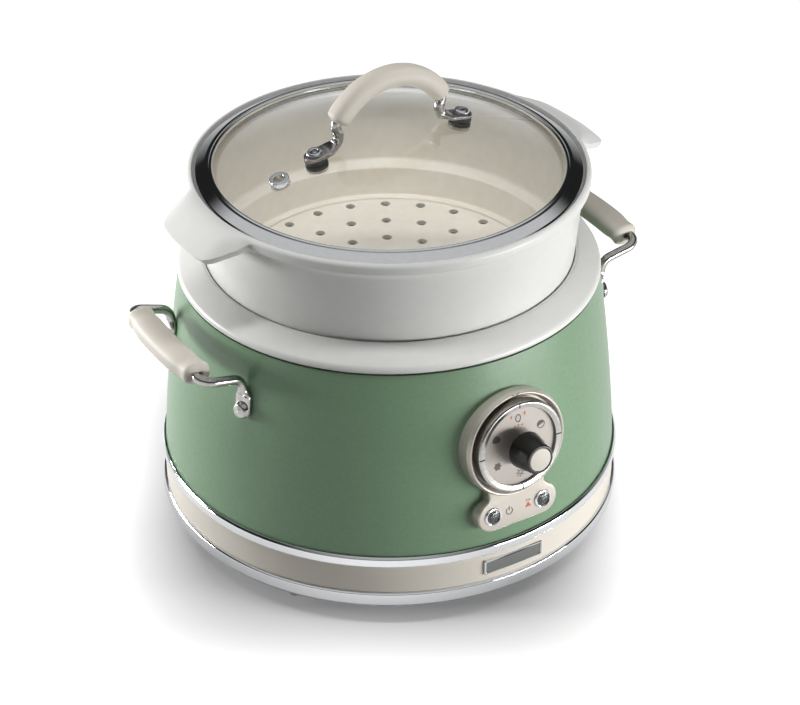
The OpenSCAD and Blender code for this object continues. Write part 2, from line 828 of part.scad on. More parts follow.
module heating_element() {
    color("#6e6e6e") {
        translate([0, 0, z_hot_under]) rotate([0, 0, 90 + terminal_angle])
            rotate_extrude(angle = 360 - 2 * terminal_angle) translate([element_r, 0]) circle(d = element_d);
        terminal_places() translate([0, 0, z_liner - terminal_down])
            cylinder(d = terminal_d, h = z_hot_under - z_liner + terminal_down);
    }
}

module plate_posts() {
    color(steel) for (a = [30, 150, 270]) rotate([0, 0, a]) translate([hot_post_circle, 0, z_liner + liner_t])
        cylinder(r = hot_post_r, h = post_h);
}

module thermal_fuse() {
    color("#d8d0b8") translate([fuse_x, fuse_y, z_liner]) {
        translate([0, fuse_len / 2, -fuse_r]) rotate([90, 0, 0]) cylinder(r = fuse_r, h = fuse_len);
        translate([-2 * fuse_r, -fuse_strap_w / 2, -1]) cube([4 * fuse_r, fuse_strap_w, 1]);
    }
}

module thermostat_housing() {
    color(steel) difference() {
        union() {
            translate([0, 0, z_liner + liner_t]) cylinder(r = sensor_flange_r, h = sensor_flange_t);
            translate([0, 0, z_liner - stem_below])
                cylinder(r = sensor_neck_r, h = stem_below + liner_t + sensor_flange_t + sensor_neck_up);
        }
        translate([0, 0, z_plate]) cylinder(r = stem_d / 2 + run_fit, h = z_hot);
    }
}

// Coil through rings of points, closed at both ends
module thermostat_spring() {
    sides = 6;
    per_turn = 16;
    rings = round(spring_turns * per_turn);
    wire_r = spring_wire / 2;
    coil_r = spring_d / 2;
    seat = wire_r + 0.02;
    rise = z_spring_top - z_spring - 2 * seat;
    points = [
        for (i = [0 : rings], j = [0 : sides - 1])
        let (turn = 360 * i / per_turn, around = 360 * j / sides)
        [(coil_r + wire_r * cos(around)) * cos(turn), (coil_r + wire_r * cos(around)) * sin(turn),
         z_spring + seat + rise * i / rings + wire_r * sin(around)]
    ];
    walls = [
        for (i = [0 : rings - 1], j = [0 : sides - 1])
        let (k = (j + 1) % sides)
        [i * sides + j, (i + 1) * sides + j, (i + 1) * sides + k, i * sides + k]
    ];
    ends = [[for (j = [0 : sides - 1]) j], [for (j = [sides - 1 : -1 : 0]) rings * sides + j]];
    color(steel) polyhedron(points, concat(walls, ends), convexity = 10);
}

module thermostat_plunger() {
    color(steel) {
        turned([
            [0, z_hot - sensor_wall], [sensor_d / 2 - sensor_wall, z_hot - sensor_wall],
            [sensor_d / 2 - sensor_wall, z_hot - sensor_h], [sensor_d / 2, z_hot - sensor_h],
            [sensor_d / 2, z_hot, soft], [0, z_hot]
        ]);
        translate([0, 0, z_liner - stem_below]) cylinder(d = stem_d, h = z_hot - sensor_wall - z_liner + stem_below);
    }
}

// Outline of the web between the bezel's round part and its lobe
module bezel_web() {
    difference() {
        polygon([[0, 0], waist_c, lobe_c, [-lobe_c.x, lobe_c.y], [-waist_c.x, waist_c.y]]);
        for (side = [-1, 1]) translate([side * waist_c.x, waist_c.y]) circle(waist_r + waist_bite);
        circle((recess_r + bezel_r) / 2);
    }
}

module bezel_lobe() {
    shoulder = 1.6;
    half = [[0, -panel_deep], [lobe_r, -panel_deep], [lobe_r, lobe_proud, shoulder], [0, lobe_proud]];
    whole = [
        [-lobe_r, -panel_deep], [lobe_r, -panel_deep], [lobe_r, lobe_proud, shoulder],
        [-lobe_r, lobe_proud, shoulder]
    ];
    for (x = [-1, 1]) translate([x * lamp_x, -lamp_drop, 0]) turned(half);
    translate([-lamp_x, -lamp_drop, 0]) rotate([90, 0, 90]) linear_extrude(lamp_pitch) polygon(rounded(whole));
}

module control_bezel() {
    crest_r = lerp(recess_r, bezel_r, 0.55);
    color(champagne) {
        difference() {
            panel() difference() {
                union() {
                    turned([
                        [bush_hole_r, -panel_deep], [bush_hole_r, recess_floor], [recess_r, recess_floor, 0.4],
                        [recess_r + 0.7, bezel_proud * 0.66, 1], [crest_r, bezel_proud, 2],
                        [bezel_r, bezel_proud * 0.4, 3], [bezel_r, -panel_deep]
                    ]);
                    bezel_lobe();
                    translate([0, 0, -panel_deep]) linear_extrude(panel_deep + lobe_proud) bezel_web();
                }
                for (x = [-1, 1]) translate([x * lamp_x, -lamp_drop, -2 * panel_deep])
                    cylinder(r = lamp_hole_r, h = 4 * panel_deep);
            }
            shell_space(bezel_fit);
        }
        panel() for (p = board_bosses) translate([p.x, p.y, -board_back])
            tube(boss_r, board_screw_r + run_fit, board_back + (p.y > 0 ? recess_floor : lobe_proud) - 1);
    }
}

module lamp_bezels() {
    color(chrome) lamp_places() turned([
        [lens_r + push_fit, -1], [sleeve_r, -1], [sleeve_r, lobe_proud], [lamp_ring_r, lobe_proud, 0.3],
        [lamp_ring_r - 0.5, lobe_proud + 1.5, 0.6], [lens_r + push_fit, lobe_proud + 0.9, 0.3]
    ]);
}

module lamp_lenses() {
    color("#3a3d3b") lamp_places() turned([
        [0, -board_back], [lamp_stem_r, -board_back], [lamp_stem_r, -0.5], [lens_r, -0.5],
        [lens_r, lobe_proud + 0.4], [lens_r * 0.5, lobe_proud + 1.2], [0, lobe_proud + 1.4]
    ]);
}

module control_board() {
    color("#3f6b4a") panel() difference() {
        translate([-board_w / 2, -board_bottom, -board_back - board_t])
            cube([board_w, board_bottom + board_top, board_t]);
        for (p = board_bosses) translate([p.x, p.y, -2 * board_back])
            cylinder(r = board_screw_r + push_fit, h = 2 * board_back);
        translate([0, 0, -2 * board_back]) cylinder(d = shaft_d + 1, h = 2 * board_back);
    }
}

module board_screws() {
    color(steel) panel() for (p = board_bosses) translate([p.x, p.y, -board_back - board_t]) {
        translate([0, 0, -board_screw_head_h]) cylinder(r = board_screw_head_r, h = board_screw_head_h);
        cylinder(r = board_screw_r, h = board_t + board_screw_len);
    }
}

module selector_switch() {
    color("#2b2b2b") panel() difference() {
        union() {
            translate([-switch_w / 2, -switch_w / 2, -board_back])
                cube([switch_w, switch_w, board_back + switch_front]);
            translate([0, 0, switch_front]) cylinder(r = bush_r, h = recess_floor - switch_front);
        }
        translate([0, 0, -board_back - 1]) cylinder(r = shaft_d / 2 + run_fit, h = 2 * panel_deep);
    }
}

module dial_shaft() {
    color(steel) panel() translate([0, 0, -board_back + 2])
        cylinder(d = shaft_d, h = board_back - 2 + dial_face_z + knob_len * 0.6);
}

module dial_ring() {
    notch_w = 0.9;
    notch_deep = 0.8;
    color(chrome) panel() difference() {
        turned([
            [dial_in_r - shelf_w, dial_back + 2], [dial_in_r, dial_back], [dial_r, dial_back, 0.4],
            [dial_r, dial_front - 0.6, 0.8], [dial_r - 1.2, dial_front, 1], [dial_in_r, dial_front - 0.4, 0.3],
            [dial_in_r, dial_face_z - dial_face_t], [dial_in_r - shelf_w, dial_face_z - dial_face_t]
        ]);
        for (a = [0 : 90 : 270]) rotate([0, 0, a])
            translate([dial_in_r - 1, -notch_w / 2, dial_front - notch_deep]) cube([dial_ring_w + 2, notch_w, 2]);
    }
}

module dial_face() {
    color(silver) panel() translate([0, 0, dial_face_z - dial_face_t])
        tube(dial_in_r - push_fit, shaft_d / 2 + push_fit, dial_face_t);
}

module knob_grip() {
    end = dial_face_z + knob_len;
    cap_r = knob_cap_d / 2 + push_fit;
    bore = dial_face_z + knob_len * 0.6 + push_fit;
    color(black) panel() turned([
        [shaft_d / 2 + push_fit, dial_face_z], [knob_d / 2, dial_face_z, 0.4], [knob_end_d / 2, end, 0.8],
        [cap_r, end], [cap_r, end - cap_deep], [0, end - cap_deep], [0, bore], [shaft_d / 2 + push_fit, bore]
    ]);
}

module knob_cap() {
    end = dial_face_z + knob_len;
    color(cream) panel() turned([
        [0, end - cap_deep], [knob_cap_d / 2, end - cap_deep], [knob_cap_d / 2, end + 0.3, 0.5], [0, end + 0.6]
    ]);
}

module power_inlet() {
    color(black) difference() {
        union() {
            difference() {
                rear() translate([0, 0, -panel_deep]) linear_extrude(panel_deep + inlet_flange_t)
                    rounded_rect(inlet_w + 2 * inlet_flange, inlet_h + 2 * inlet_flange, inlet_round + 1);
                shell_space(bezel_fit);
            }
            rear() translate([0, 0, inlet_back]) linear_extrude(inlet_flange_t - inlet_back)
                rounded_rect(inlet_w + 2 * inlet_t, inlet_h + 2 * inlet_t, inlet_round);
        }
        rear() translate([0, 0, inlet_flange_t - inlet_deep]) linear_extrude(2 * inlet_deep)
            rounded_rect(inlet_w, inlet_h, inlet_round);
        rear() for (p = pin_places) translate([p.x, p.y, 0])
            cube([pin_w + 2 * push_fit, pin_h + 2 * push_fit, 4 * inlet_deep], center = true);
    }
}

module inlet_pins() {
    color(chrome) rear() for (p = pin_places)
        translate([p.x - pin_w / 2, p.y - pin_h / 2, inlet_back - pin_tail])
            cube([pin_w, pin_h, pin_tail + inlet_t + pin_out]);
}

// Live lead by the fuse and the board to one terminal, neutral to the other, earth to a standoff
module internal_wiring() {
    tilt = shell_tilt(inlet_z);
    tail = inlet_back - pin_tail - lead_gap;
    tail_y = shell_r(inlet_z) + tail * cos(tilt) - pin_places[0].y * sin(tilt);
    tail_z = inlet_z + tail * sin(tilt) + pin_places[0].y * cos(tilt);
    earth_z = inlet_z + tail * sin(tilt) + pin_places[2].y * cos(tilt);
    earth_tail = tail_y - (pin_places[2].y - pin_places[0].y) * sin(tilt);
    drop_y = liner_r + liner_t + lead_gap + lead_r;
    turn_r = min(lead_bend, earth_tail - drop_y - joint_lap);
    pin_x = pin_places[1].x;
    below = board_bottom + lead_gap;
    behind = board_back + board_t / 2;
    board_y = -shell_r(dial_z) - below * sin(shell_tilt(dial_z)) + behind * cos(shell_tilt(dial_z));
    board_z = dial_z - below * cos(shell_tilt(dial_z)) - behind * sin(shell_tilt(dial_z)) - lead_r;
    board_x = board_w / 4;
    terminal_x = element_r * sin(terminal_angle);
    terminal_y = element_r * cos(terminal_angle);
    terminal_z = z_liner - terminal_down - lead_gap;
    turn_z = terminal_z - lead_bend - joint_lap;
    fuse_z = z_liner - fuse_r;
    fuse_end = fuse_len / 2 + lead_gap;
    earth_x = standoff_r * cos(30) - standoff_d;
    earth_y = standoff_r * sin(30) + standoff_d / 2;
    color("#a03a30") {
        rod([
            [-pin_x, tail_y, tail_z], [-pin_x, drop_y, tail_z], [-pin_x, drop_y, fuse_z],
            [fuse_x, fuse_y + fuse_end + fuse_lead, fuse_z], [fuse_x, fuse_y + fuse_end, fuse_z]
        ], lead_r, turn_r);
        rod([
            [fuse_x, fuse_y - fuse_end, fuse_z], [fuse_x, -standoff_r * 0.6, fuse_z],
            [-board_x, board_y, fuse_z], [-board_x, board_y, board_z]
        ], lead_r, lead_bend);
        rod([
            [board_x, board_y, board_z], [board_x, board_y, lead_z],
            [board_x + lead_part, -standoff_r * 0.7, lead_z],
            [-terminal_x, -sensor_flange_r, lead_z], [-terminal_x, terminal_y, turn_z],
            [-terminal_x, terminal_y, terminal_z]
        ], lead_r, lead_bend);
    }
    color("#3c5a8c") rod([
        [pin_x, tail_y, tail_z], [pin_x, drop_y, tail_z], [pin_x, drop_y, lead_z + lead_part],
        [terminal_x, terminal_y, turn_z], [terminal_x, terminal_y, terminal_z]
    ], lead_r, turn_r);
    color("#6f8f3a") rod([
        [0, earth_tail, earth_z], [0, drop_y, earth_z], [0, drop_y, lead_z - lead_part],
        [earth_x, earth_y, lead_z - lead_part]
    ], lead_r, turn_r);
}

function tab_point(side, end, down, out) =
    let (tilt = shell_tilt(tab_z), turn = side > 0 ? end * tab_angle : 180 - end * tab_angle)
    let (r = shell_r(tab_z) + out * cos(tilt) + down * sin(tilt), z = tab_z + out * sin(tilt) - down * cos(tilt))
    [r * cos(turn), r * sin(turn), z];

// A rod that ends in two flattened tabs and passes through the grip
module handle_bracket(side) {
    rod_n = rod_r + tab_gap + 0.3;
    color(chrome) {
        rod([
            tab_point(side, -1, -tab_len, rod_n), tab_point(side, -1, -tab_rod_up, rod_n),
            [side * grip_out, -rod_corner_y, grip_z], [side * grip_out, rod_corner_y, grip_z],
            tab_point(side, 1, -tab_rod_up, rod_n), tab_point(side, 1, -tab_len, rod_n)
        ], rod_r, rod_bend);
        for (end = [-1, 1]) tab_frame(side, end) {
            difference() {
                translate([0, 0, tab_gap]) linear_extrude(tab_t) {
                    circle(tab_round);
                    translate([-tab_len + 4, -tab_round]) square([tab_len - 4, tab_w]);
                }
                translate([0, 0, -1]) cylinder(d = tab_screw_d + 2 * push_fit, h = 10);
            }
            hull() {
                translate([-tab_len + 4, -tab_round, tab_gap]) cube([0.1, tab_w, tab_t]);
                translate([-tab_len - 1.5, 0, rod_n]) rotate([0, 90, 0])
                    cylinder(r = rod_r * 0.85, h = 0.1, $fn = 32);
            }
        }
    }
}

module handle_grip(side) {
    color(cream) translate([side * grip_out, 0, grip_z]) difference() {
        intersection() {
            rotate([90, 0, 0]) linear_extrude(grip_len, center = true) rounded_rect(grip_w, grip_h, grip_round);
            linear_extrude(grip_h, center = true) rounded_rect(grip_w, grip_len, grip_end_round);
            rotate([0, 90, 0]) linear_extrude(grip_w, center = true) rounded_rect(grip_h, grip_len, grip_end_round);
        }
        rotate([90, 0, 0]) cylinder(r = rod_r + push_fit, h = 2 * grip_len, center = true);
    }
}

module left_handle_bracket() {
    handle_bracket(-1);
}

module right_handle_bracket() {
    handle_bracket(1);
}

module left_handle_grip() {
    handle_grip(-1);
}

module right_handle_grip() {
    handle_grip(1);
}

module handle_screws() {
    head_z = tab_gap + tab_t;
    head_r = tab_screw_head / 2;
    color(chrome) for (side = [-1, 1], end = [-1, 1]) tab_frame(side, end) turned([
        [0, -shell_t - nut_t - 1.5], [tab_screw_d / 2, -shell_t - nut_t - 1.5], [tab_screw_d / 2, head_z],
        [head_r, head_z, 0.3], [head_r * 0.75, head_z + tab_screw_head_h * 0.75, 2], [0, head_z + tab_screw_head_h]
    ]);
}

module handle_nuts() {
    color(steel) for (side = [-1, 1], end = [-1, 1]) tab_frame(side, end)
        translate([0, 0, -shell_t - nut_t - 0.25]) difference() {
            cylinder(r = nut_r * 2 / sqrt(3), h = nut_t, $fn = 6);
            translate([0, 0, -1]) cylinder(r = tab_screw_d / 2 + run_fit, h = nut_t + 2);
        }
}

module inner_pot() {
    color("#55585a") turned([
        [0, z_hot], [pot_out_r, z_hot, pot_corner_r], [pot_out_r, z_pot_rim - pot_rim_t],
        [pot_rim_r, z_pot_rim - pot_rim_t, hair], [pot_rim_r, z_pot_rim, edge], [pot_in_r, z_pot_rim, edge],
        [pot_in_r, z_hot + pot_floor_t, pot_corner_r - pot_t], [0, z_hot + pot_floor_t]
    ]);
}

// Plan of one wing: round corners that touch the outer arc, sides that blend into the lip
module wing_plan() {
    corner_r = wing_r - wing_corner;
    corner_y = wing_half - wing_corner;
    corner_x = sqrt(corner_r * corner_r - corner_y * corner_y);
    offset(r = -wing_blend) offset(r = wing_blend) {
        circle(lip_r - edge);
        hull() {
            for (y = [-1, 1]) translate([corner_x, y * corner_y]) circle(wing_corner);
            translate([wing_root_r - 2 * wing_lap, -wing_root_half]) square([wing_lap, 2 * wing_root_half]);
        }
        intersection() {
            circle(wing_r);
            polygon([[0, 0], 2 * [corner_x, -corner_y], 2 * [corner_x, corner_y]]);
        }
    }
}

module wing_blade() {
    inner = [wing_root_r, z_steam_top - wing_sink];
    outer = [wing_r, z_steam_top - wing_sink - wing_drop];
    across = wing_t * norm(outer - inner) / (outer.x - inner.x);
    reach = wing_r - wing_root_r;
    intersection() {
        turned([
            inner, [outer.x, outer.y, soft], [outer.x - wing_t * wing_drop / reach, outer.y - across * 0.7, soft],
            [inner.x, inner.y - across]
        ]);
        translate([0, 0, outer.y - 2 * wing_t]) linear_extrude(wing_drop + 3 * wing_t) intersection() {
            wing_plan();
            translate([0, -lip_r]) square([wing_r, 2 * lip_r]);
        }
    }
}

module steamer_basket() {
    color(white) {
        difference() {
            turned([
                [0, z_steam_floor], [insert_foot_r, z_steam_floor, steam_soft], [insert_r, z_pot_rim],
                [steam_foot_r, z_pot_rim, edge], [steam_top_r, z_lip - lip_under, lip_fillet], [lip_r, z_lip, soft],
                [lip_r, z_steam_top, lip_edge], [seat_r, z_steam_top, hair], [seat_r, z_lid],
                [steam_top_r - steam_t, z_lid, edge], [steam_foot_r - steam_t, z_pot_rim + 2 * steam_t, steam_soft],
                [insert_r - steam_t, z_pot_rim + steam_t, soft],
                [insert_foot_r - steam_t, z_steam_floor + steam_t, soft], [0, z_steam_floor + steam_t]
            ]);
            for (ring = [0 : hole_rings], i = [0 : max(1, 6 * ring) - 1])
                rotate([0, 0, 60 * i / max(1, ring)]) translate([ring * hole_pitch, 0, z_steam_floor - 1])
                    cylinder(d = hole_d, h = steam_t + 2);
        }
        for (side = [0, 180]) rotate([0, 0, side]) wing_blade();
    }
}

module lid_glass() {
    color("#dfe8e4", 0.35) difference() {
        rotate_extrude() intersection() {
            translate([0, z_glass - glass_r]) difference() {
                circle(r = glass_r, $fn = arc_fn);
                circle(r = glass_r - glass_t, $fn = arc_fn);
            }
            translate([0, z_lid - 2 * glass_t]) square([glass_edge_r, glass_r / 2]);
        }
        lid_post_places() translate([0, 0, -3 * glass_t])
            cylinder(r = lid_post_d / 2 + push_fit, h = 6 * glass_t);
        mirror([1, 0, 0]) on_glass(vent_out) translate([0, 0, -3 * glass_t])
            cylinder(r = eyelet_neck_r + push_fit, h = 6 * glass_t);
    }
}

module lid_rim() {
    bed = glass_edge_r + rim_grip;
    lip_in = rim_in_r + rim_sheet;
    color(chrome) turned([
        [bed + rim_sheet, z_lid], [lid_r, z_lid, edge], [lid_r, z_lid + lid_rim_h * 0.5, 1.5 * soft],
        [rim_in_r + soft, z_lid + lid_rim_h, soft], [rim_in_r, glass_over(rim_in_r) + soft + hair, hair],
        [rim_in_r, glass_over(rim_in_r) + rim_grip], [bed, glass_over(bed) + rim_grip],
        [bed, glass_under(bed) - rim_grip], [lip_in, glass_under(lip_in) - rim_grip],
        [lip_in, glass_under(lip_in) - rim_grip - rim_sheet],
        [bed + rim_sheet, glass_under(bed) - rim_grip - rim_sheet]
    ]);
}

module vent_grommet() {
    color(chrome) mirror([1, 0, 0]) on_glass(vent_out) turned([
        [eyelet_hole_r, -glass_t - eyelet_t], [vent_d / 2, -glass_t - eyelet_t, 0.4],
        [vent_d / 2, -glass_t - under_gap], [eyelet_neck_r, -glass_t - under_gap], [eyelet_neck_r, 0.02],
        [vent_d / 2, 0.02], [vent_d / 2 - 0.3, eyelet_t, 0.7], [eyelet_hole_r, eyelet_t, 0.5]
    ]);
}

// Point in the frame of a lid foot: along the glass outward, and out of the glass
function foot_point(side, along, out) = [
    side * (lid_post_x + along * cos(foot_tilt) + out * sin(foot_tilt)), 0,
    glass_over(lid_post_x) - along * sin(foot_tilt) + out * cos(foot_tilt)
];

module lid_handle_rod() {
    color(chrome) {
        translate([0, 0, arch_z]) rotate([90, 0, 0]) rotate([0, 0, 90 - arch_angle])
            rotate_extrude(angle = 2 * arch_angle) translate([arch_r, 0]) circle(lid_rod_r - joint_step);
        for (side = [-1, 1]) rod([
            [side * (arch_end.x - joint_lap * arch_down.x), 0, arch_end.y - joint_lap * arch_down.y],
            [side * (arch_end.x + foot_leg * arch_down.x), 0, arch_end.y + foot_leg * arch_down.y],
            foot_point(side, -foot_bend, foot_bend_n), foot_point(side, -foot_rod, foot_mid_n)
        ], lid_rod_r, lid_bend);
        lid_post_places() {
            translate([0, 0, washer_t]) difference() {
                linear_extrude(lid_foot_t) {
                    circle(foot_tip);
                    translate([-foot_inner, -lid_foot_w / 2]) square([foot_inner, lid_foot_w]);
                }
                translate([0, 0, -1]) cylinder(r = lid_post_d / 2 + push_fit, h = lid_foot_t + 2);
            }
            hull() {
                translate([-foot_inner, -lid_foot_w / 2, washer_t]) cube([0.1, lid_foot_w, lid_foot_t]);
                translate([-foot_rod - 1.5, 0, foot_mid_n]) rotate([0, 90, 0])
                    cylinder(r = lid_rod_r * 0.85, h = 0.1, $fn = 32);
            }
        }
    }
}

module lid_handle_grip() {
    round_r = lid_grip_h / 2 - hair;
    color(cream) translate([0, 0, arch_z]) rotate([90, 0, 0]) rotate([0, 0, 90 - arch_angle])
        rotate_extrude(angle = 2 * arch_angle) translate([arch_r, 0]) difference() {
            rounded_rect(lid_grip_h, lid_grip_w, round_r);
            circle(lid_rod_r + push_fit);
        }
}

module lid_handle_posts() {
    r = lid_post_d / 2;
    under = -glass_t - under_gap - washer_t;
    top = washer_t + lid_foot_t + lid_post_h;
    color(chrome) lid_post_places() turned([
        [0, under - post_head_t], [washer_r, under - post_head_t, edge], [washer_r, under], [r, under],
        [r, top - edge], [r + edge, top, hair], [r - post_wall, top, hair], [r - post_wall, washer_t + lid_foot_t],
        [0, washer_t + lid_foot_t]
    ]);
}

module lid_handle_washers() {
    color("#5a5a58") lid_post_places() {
        tube(washer_r, lid_post_d / 2 + push_fit, washer_t);
        translate([0, 0, -glass_t - under_gap - washer_t]) tube(washer_r, lid_post_d / 2 + push_fit, washer_t);
    }
}

bottom_plate();
feet();
foot_screws();
lower_trim_ring();
base_band();
badge_plate();
upper_trim_ring();
outer_shell();
top_collar();
inner_liner();
liner_standoffs();
standoff_screws();
heating_plate();
heating_element();
plate_posts();
thermal_fuse();
thermostat_housing();
thermostat_spring();
thermostat_plunger();
control_bezel();
lamp_bezels();
lamp_lenses();
control_board();
board_screws();
selector_switch();
dial_shaft();
dial_ring();
dial_face();
knob_grip();
knob_cap();
power_inlet();
inlet_pins();
internal_wiring();
left_handle_bracket();
left_handle_grip();
right_handle_bracket();
right_handle_grip();
handle_screws();
handle_nuts();
inner_pot();
steamer_basket();
lid_glass();
lid_rim();
vent_grommet();
lid_handle_rod();
lid_handle_grip();
lid_handle_posts();
lid_handle_washers();
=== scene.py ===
"""Dresses a retro multicooker: painted base, control dial, side handles, steamer basket and glass lid."""

import logging
import math
from dataclasses import dataclass
from enum import Enum
from typing import Any, Callable, Iterable, Sequence

import bmesh
import bpy
from mathutils import Matrix, Vector
from mathutils.geometry import delaunay_2d_cdt


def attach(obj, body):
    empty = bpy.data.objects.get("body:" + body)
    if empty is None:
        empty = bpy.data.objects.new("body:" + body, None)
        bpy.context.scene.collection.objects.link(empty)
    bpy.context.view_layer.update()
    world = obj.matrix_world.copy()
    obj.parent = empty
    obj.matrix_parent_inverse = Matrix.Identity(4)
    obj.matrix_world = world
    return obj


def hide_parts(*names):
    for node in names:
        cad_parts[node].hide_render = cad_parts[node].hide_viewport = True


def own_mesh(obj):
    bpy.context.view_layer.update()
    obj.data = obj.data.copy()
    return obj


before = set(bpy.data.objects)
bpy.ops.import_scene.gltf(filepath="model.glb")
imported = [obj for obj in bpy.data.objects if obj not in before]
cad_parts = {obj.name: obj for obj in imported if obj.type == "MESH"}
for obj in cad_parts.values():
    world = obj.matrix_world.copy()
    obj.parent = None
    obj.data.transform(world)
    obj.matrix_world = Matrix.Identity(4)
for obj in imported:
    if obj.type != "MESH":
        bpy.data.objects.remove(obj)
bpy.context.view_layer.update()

MM = 0.001
RANGE = ("From Min", "From Max", "To Min", "To Max")
log = logging.getLogger("multicooker")

Point2 = tuple[float, float]
Span = tuple[float, float, float, float]
Faces = list[tuple[int, ...]]
Shape = tuple[list[Vector], Faces]


class Body(Enum):
    """Bodies of the mechanism that pieces ride on."""

    BASE = "base"
    DIAL = "dial"
    STEAMER = "steamer"
    LID = "lid"


class Side(Enum):
    """The two ends of the cooker's long axis."""

    LEFT = -1
    RIGHT = 1


# Colours and nodes


def linear(code: str) -> tuple[float, float, float, float]:
    """Turns an sRGB hex code into a linear colour.

    Args:
        code: Six hex digits after a hash sign.

    Returns:
        Linear red, green, blue and full alpha.
    """
    parts = [int(code[i : i + 2], 16) / 255 for i in (1, 3, 5)]
    low, slope, power = 0.04045, 12.92, 2.4
    r, g, b = (p / slope if p <= low else ((p + 0.055) / 1.055) ** power for p in parts)
    return r, g, b, 1.0


def add_node(
    tree: bpy.types.NodeTree, kind: str, settings: dict[str, Any] | None = None, inputs: dict[Any, Any] | None = None
) -> bpy.types.Node:
    """Adds a node with its settings and its inputs.

    Args:
        tree: The node tree.
        kind: Blender's name of the node type.
        settings: Properties of the node.
        inputs: Sockets by name or index; a socket as value is linked, anything else is set.

    Returns:
        The new node.
    """
    node = tree.nodes.new(kind)
    for key, value in (settings or {}).items():
        setattr(node, key, value)
    for key, value in (inputs or {}).items():
        if isinstance(value, bpy.types.NodeSocket):
            tree.links.new(value, node.inputs[key])
        else:
            node.inputs[key].default_value = value
    return node


def empty_tree(owner: bpy.types.Material | bpy.types.World) -> bpy.types.NodeTree:
    """Gives a material or world a node tree with nothing in it.

    Args:
        owner: The material or world.

    Returns:
        Its node tree.
    """
    owner.use_nodes = True
    owner.node_tree.nodes.clear()
    return owner.node_tree


# Finishes


@dataclass(frozen=True)
class Finish:
    """A surface as it is made: colour, gloss and the grain that its making leaves.

    The grain is a noise of grain_mm that mixes a second colour in, moves the roughness and lifts the surface.
    """

    name: str
    slot: str
    colour: str
    fleck: str
    grain_mm: float
    depth_mm: float
    roughness: float
    swing: float = 0.03
    metallic: float = 0.0
    coat: float = 0.0
    coat_roughness: float = 0.04
    ior: float = 1.5
    stretch: tuple[float, float, float] = (1.0, 1.0, 1.0)
    detail: float = 3.0
    fleck_span: Point2 = (0.35, 0.65)
    gloss_span: Point2 = (0.3, 0.7)

    def material(self) -> bpy.types.Material:
        """Gives the finish's material, made once."""
        return bpy.data.materials.get(self.name) or self.build()

    def build(self) -> bpy.types.Material:
        """Makes the material.

        Returns:
            The new material.
        """
        material = bpy.data.materials.new(self.name)
        tree = empty_tree(material)
        add_node(tree, "ShaderNodeOutputMaterial", inputs={"Surface": self.surface(tree)})
        return material

    def surface(self, tree: bpy.types.NodeTree) -> bpy.types.NodeSocket:
        """Adds the shader."""
        shader = add_node(tree, "ShaderNodeBsdfPrincipled", inputs=self.sockets(tree, self.grain(tree)))
        return shader.outputs["BSDF"]

    def grain(self, tree: bpy.types.NodeTree) -> bpy.types.NodeSocket:
        """Adds the noise of the grain, in real size.

        Args:
            tree: The material's node tree.

        Returns:
            The noise's value.
        """
        place = add_node(tree, "ShaderNodeTexCoord")
        scaled = add_node(
            tree, "ShaderNodeMapping", inputs={"Vector": place.outputs["Object"], "Scale": self.stretch}
        )
        noise = add_node(
            tree,
            "ShaderNodeTexNoise",
            inputs={"Vector": scaled.outputs[0], "Scale": 1 / (self.grain_mm * MM), "Detail": self.detail},
        )
        return noise.outputs[0]

    def sockets(self, tree: bpy.types.NodeTree, grain: bpy.types.NodeSocket) -> dict[str, Any]:
        """Works out the shader's inputs.

        Args:
            tree: The material's node tree.
            grain: The grain's value.

        Returns:
            Shader inputs by name.
        """
        share = add_node(tree, "ShaderNodeMapRange", inputs={"Value": grain, **dict(zip(RANGE, self.fleck_span))})
        # Inputs 6 and 7 are the two colours of a mix, and output 2 is its result
        colour = add_node(
            tree,
            "ShaderNodeMix",
            {"data_type": "RGBA"},
            {"Factor": share.outputs[0], 6: linear(self.colour), 7: linear(self.fleck)},
        )
        spread = (max(0.0, self.roughness - self.swing), self.roughness + self.swing)
        gloss = add_node(
            tree,
            "ShaderNodeMapRange",
            inputs={"Value": grain, **dict(zip(RANGE, (*self.gloss_span, *spread)))},
        )
        bump = add_node(
            tree, "ShaderNodeBump", inputs={"Height": grain, "Strength": 1.0, "Distance": self.depth_mm * MM}
        )
        values = {
            "Base Color": colour.outputs[2],
            "Roughness": gloss.outputs[0],
            "Normal": bump.outputs[0],
            "Metallic": self.metallic,
            "Coat Weight": self.coat,
            "Coat Roughness": self.coat_roughness,
        }
        if not self.metallic:
            values["IOR"] = self.ior
        return values


@dataclass(frozen=True)
class ClearGlass(Finish):
    """Polished tempered glass: clear, faintly green at its edge."""

    def surface(self, tree: bpy.types.NodeTree) -> bpy.types.NodeSocket:
        """Adds the shader, with light from the lamps passing straight through.

        Args:
            tree: The material's node tree.

        Returns:
            The shader's output.
        """
        sockets = self.sockets(tree, self.grain(tree))
        sockets.update({"Transmission Weight": 1.0, "Base Color": linear(self.colour)})
        glass = add_node(tree, "ShaderNodeBsdfPrincipled", inputs=sockets)
        clear = add_node(tree, "ShaderNodeBsdfTransparent", inputs={"Color": linear(self.fleck)})
        path = add_node(tree, "ShaderNodeLightPath")
        passing = add_node(
            tree,
            "ShaderNodeMath",
            {"operation": "MAXIMUM"},
            {0: path.outputs["Is Shadow Ray"], 1: path.outputs["Is Diffuse Ray"]},
        )
        mixed = add_node(
            tree, "ShaderNodeMixShader", inputs={0: passing.outputs[0], 1: glass.outputs[0], 2: clear.outputs[0]}
        )
        return mixed.outputs[0]


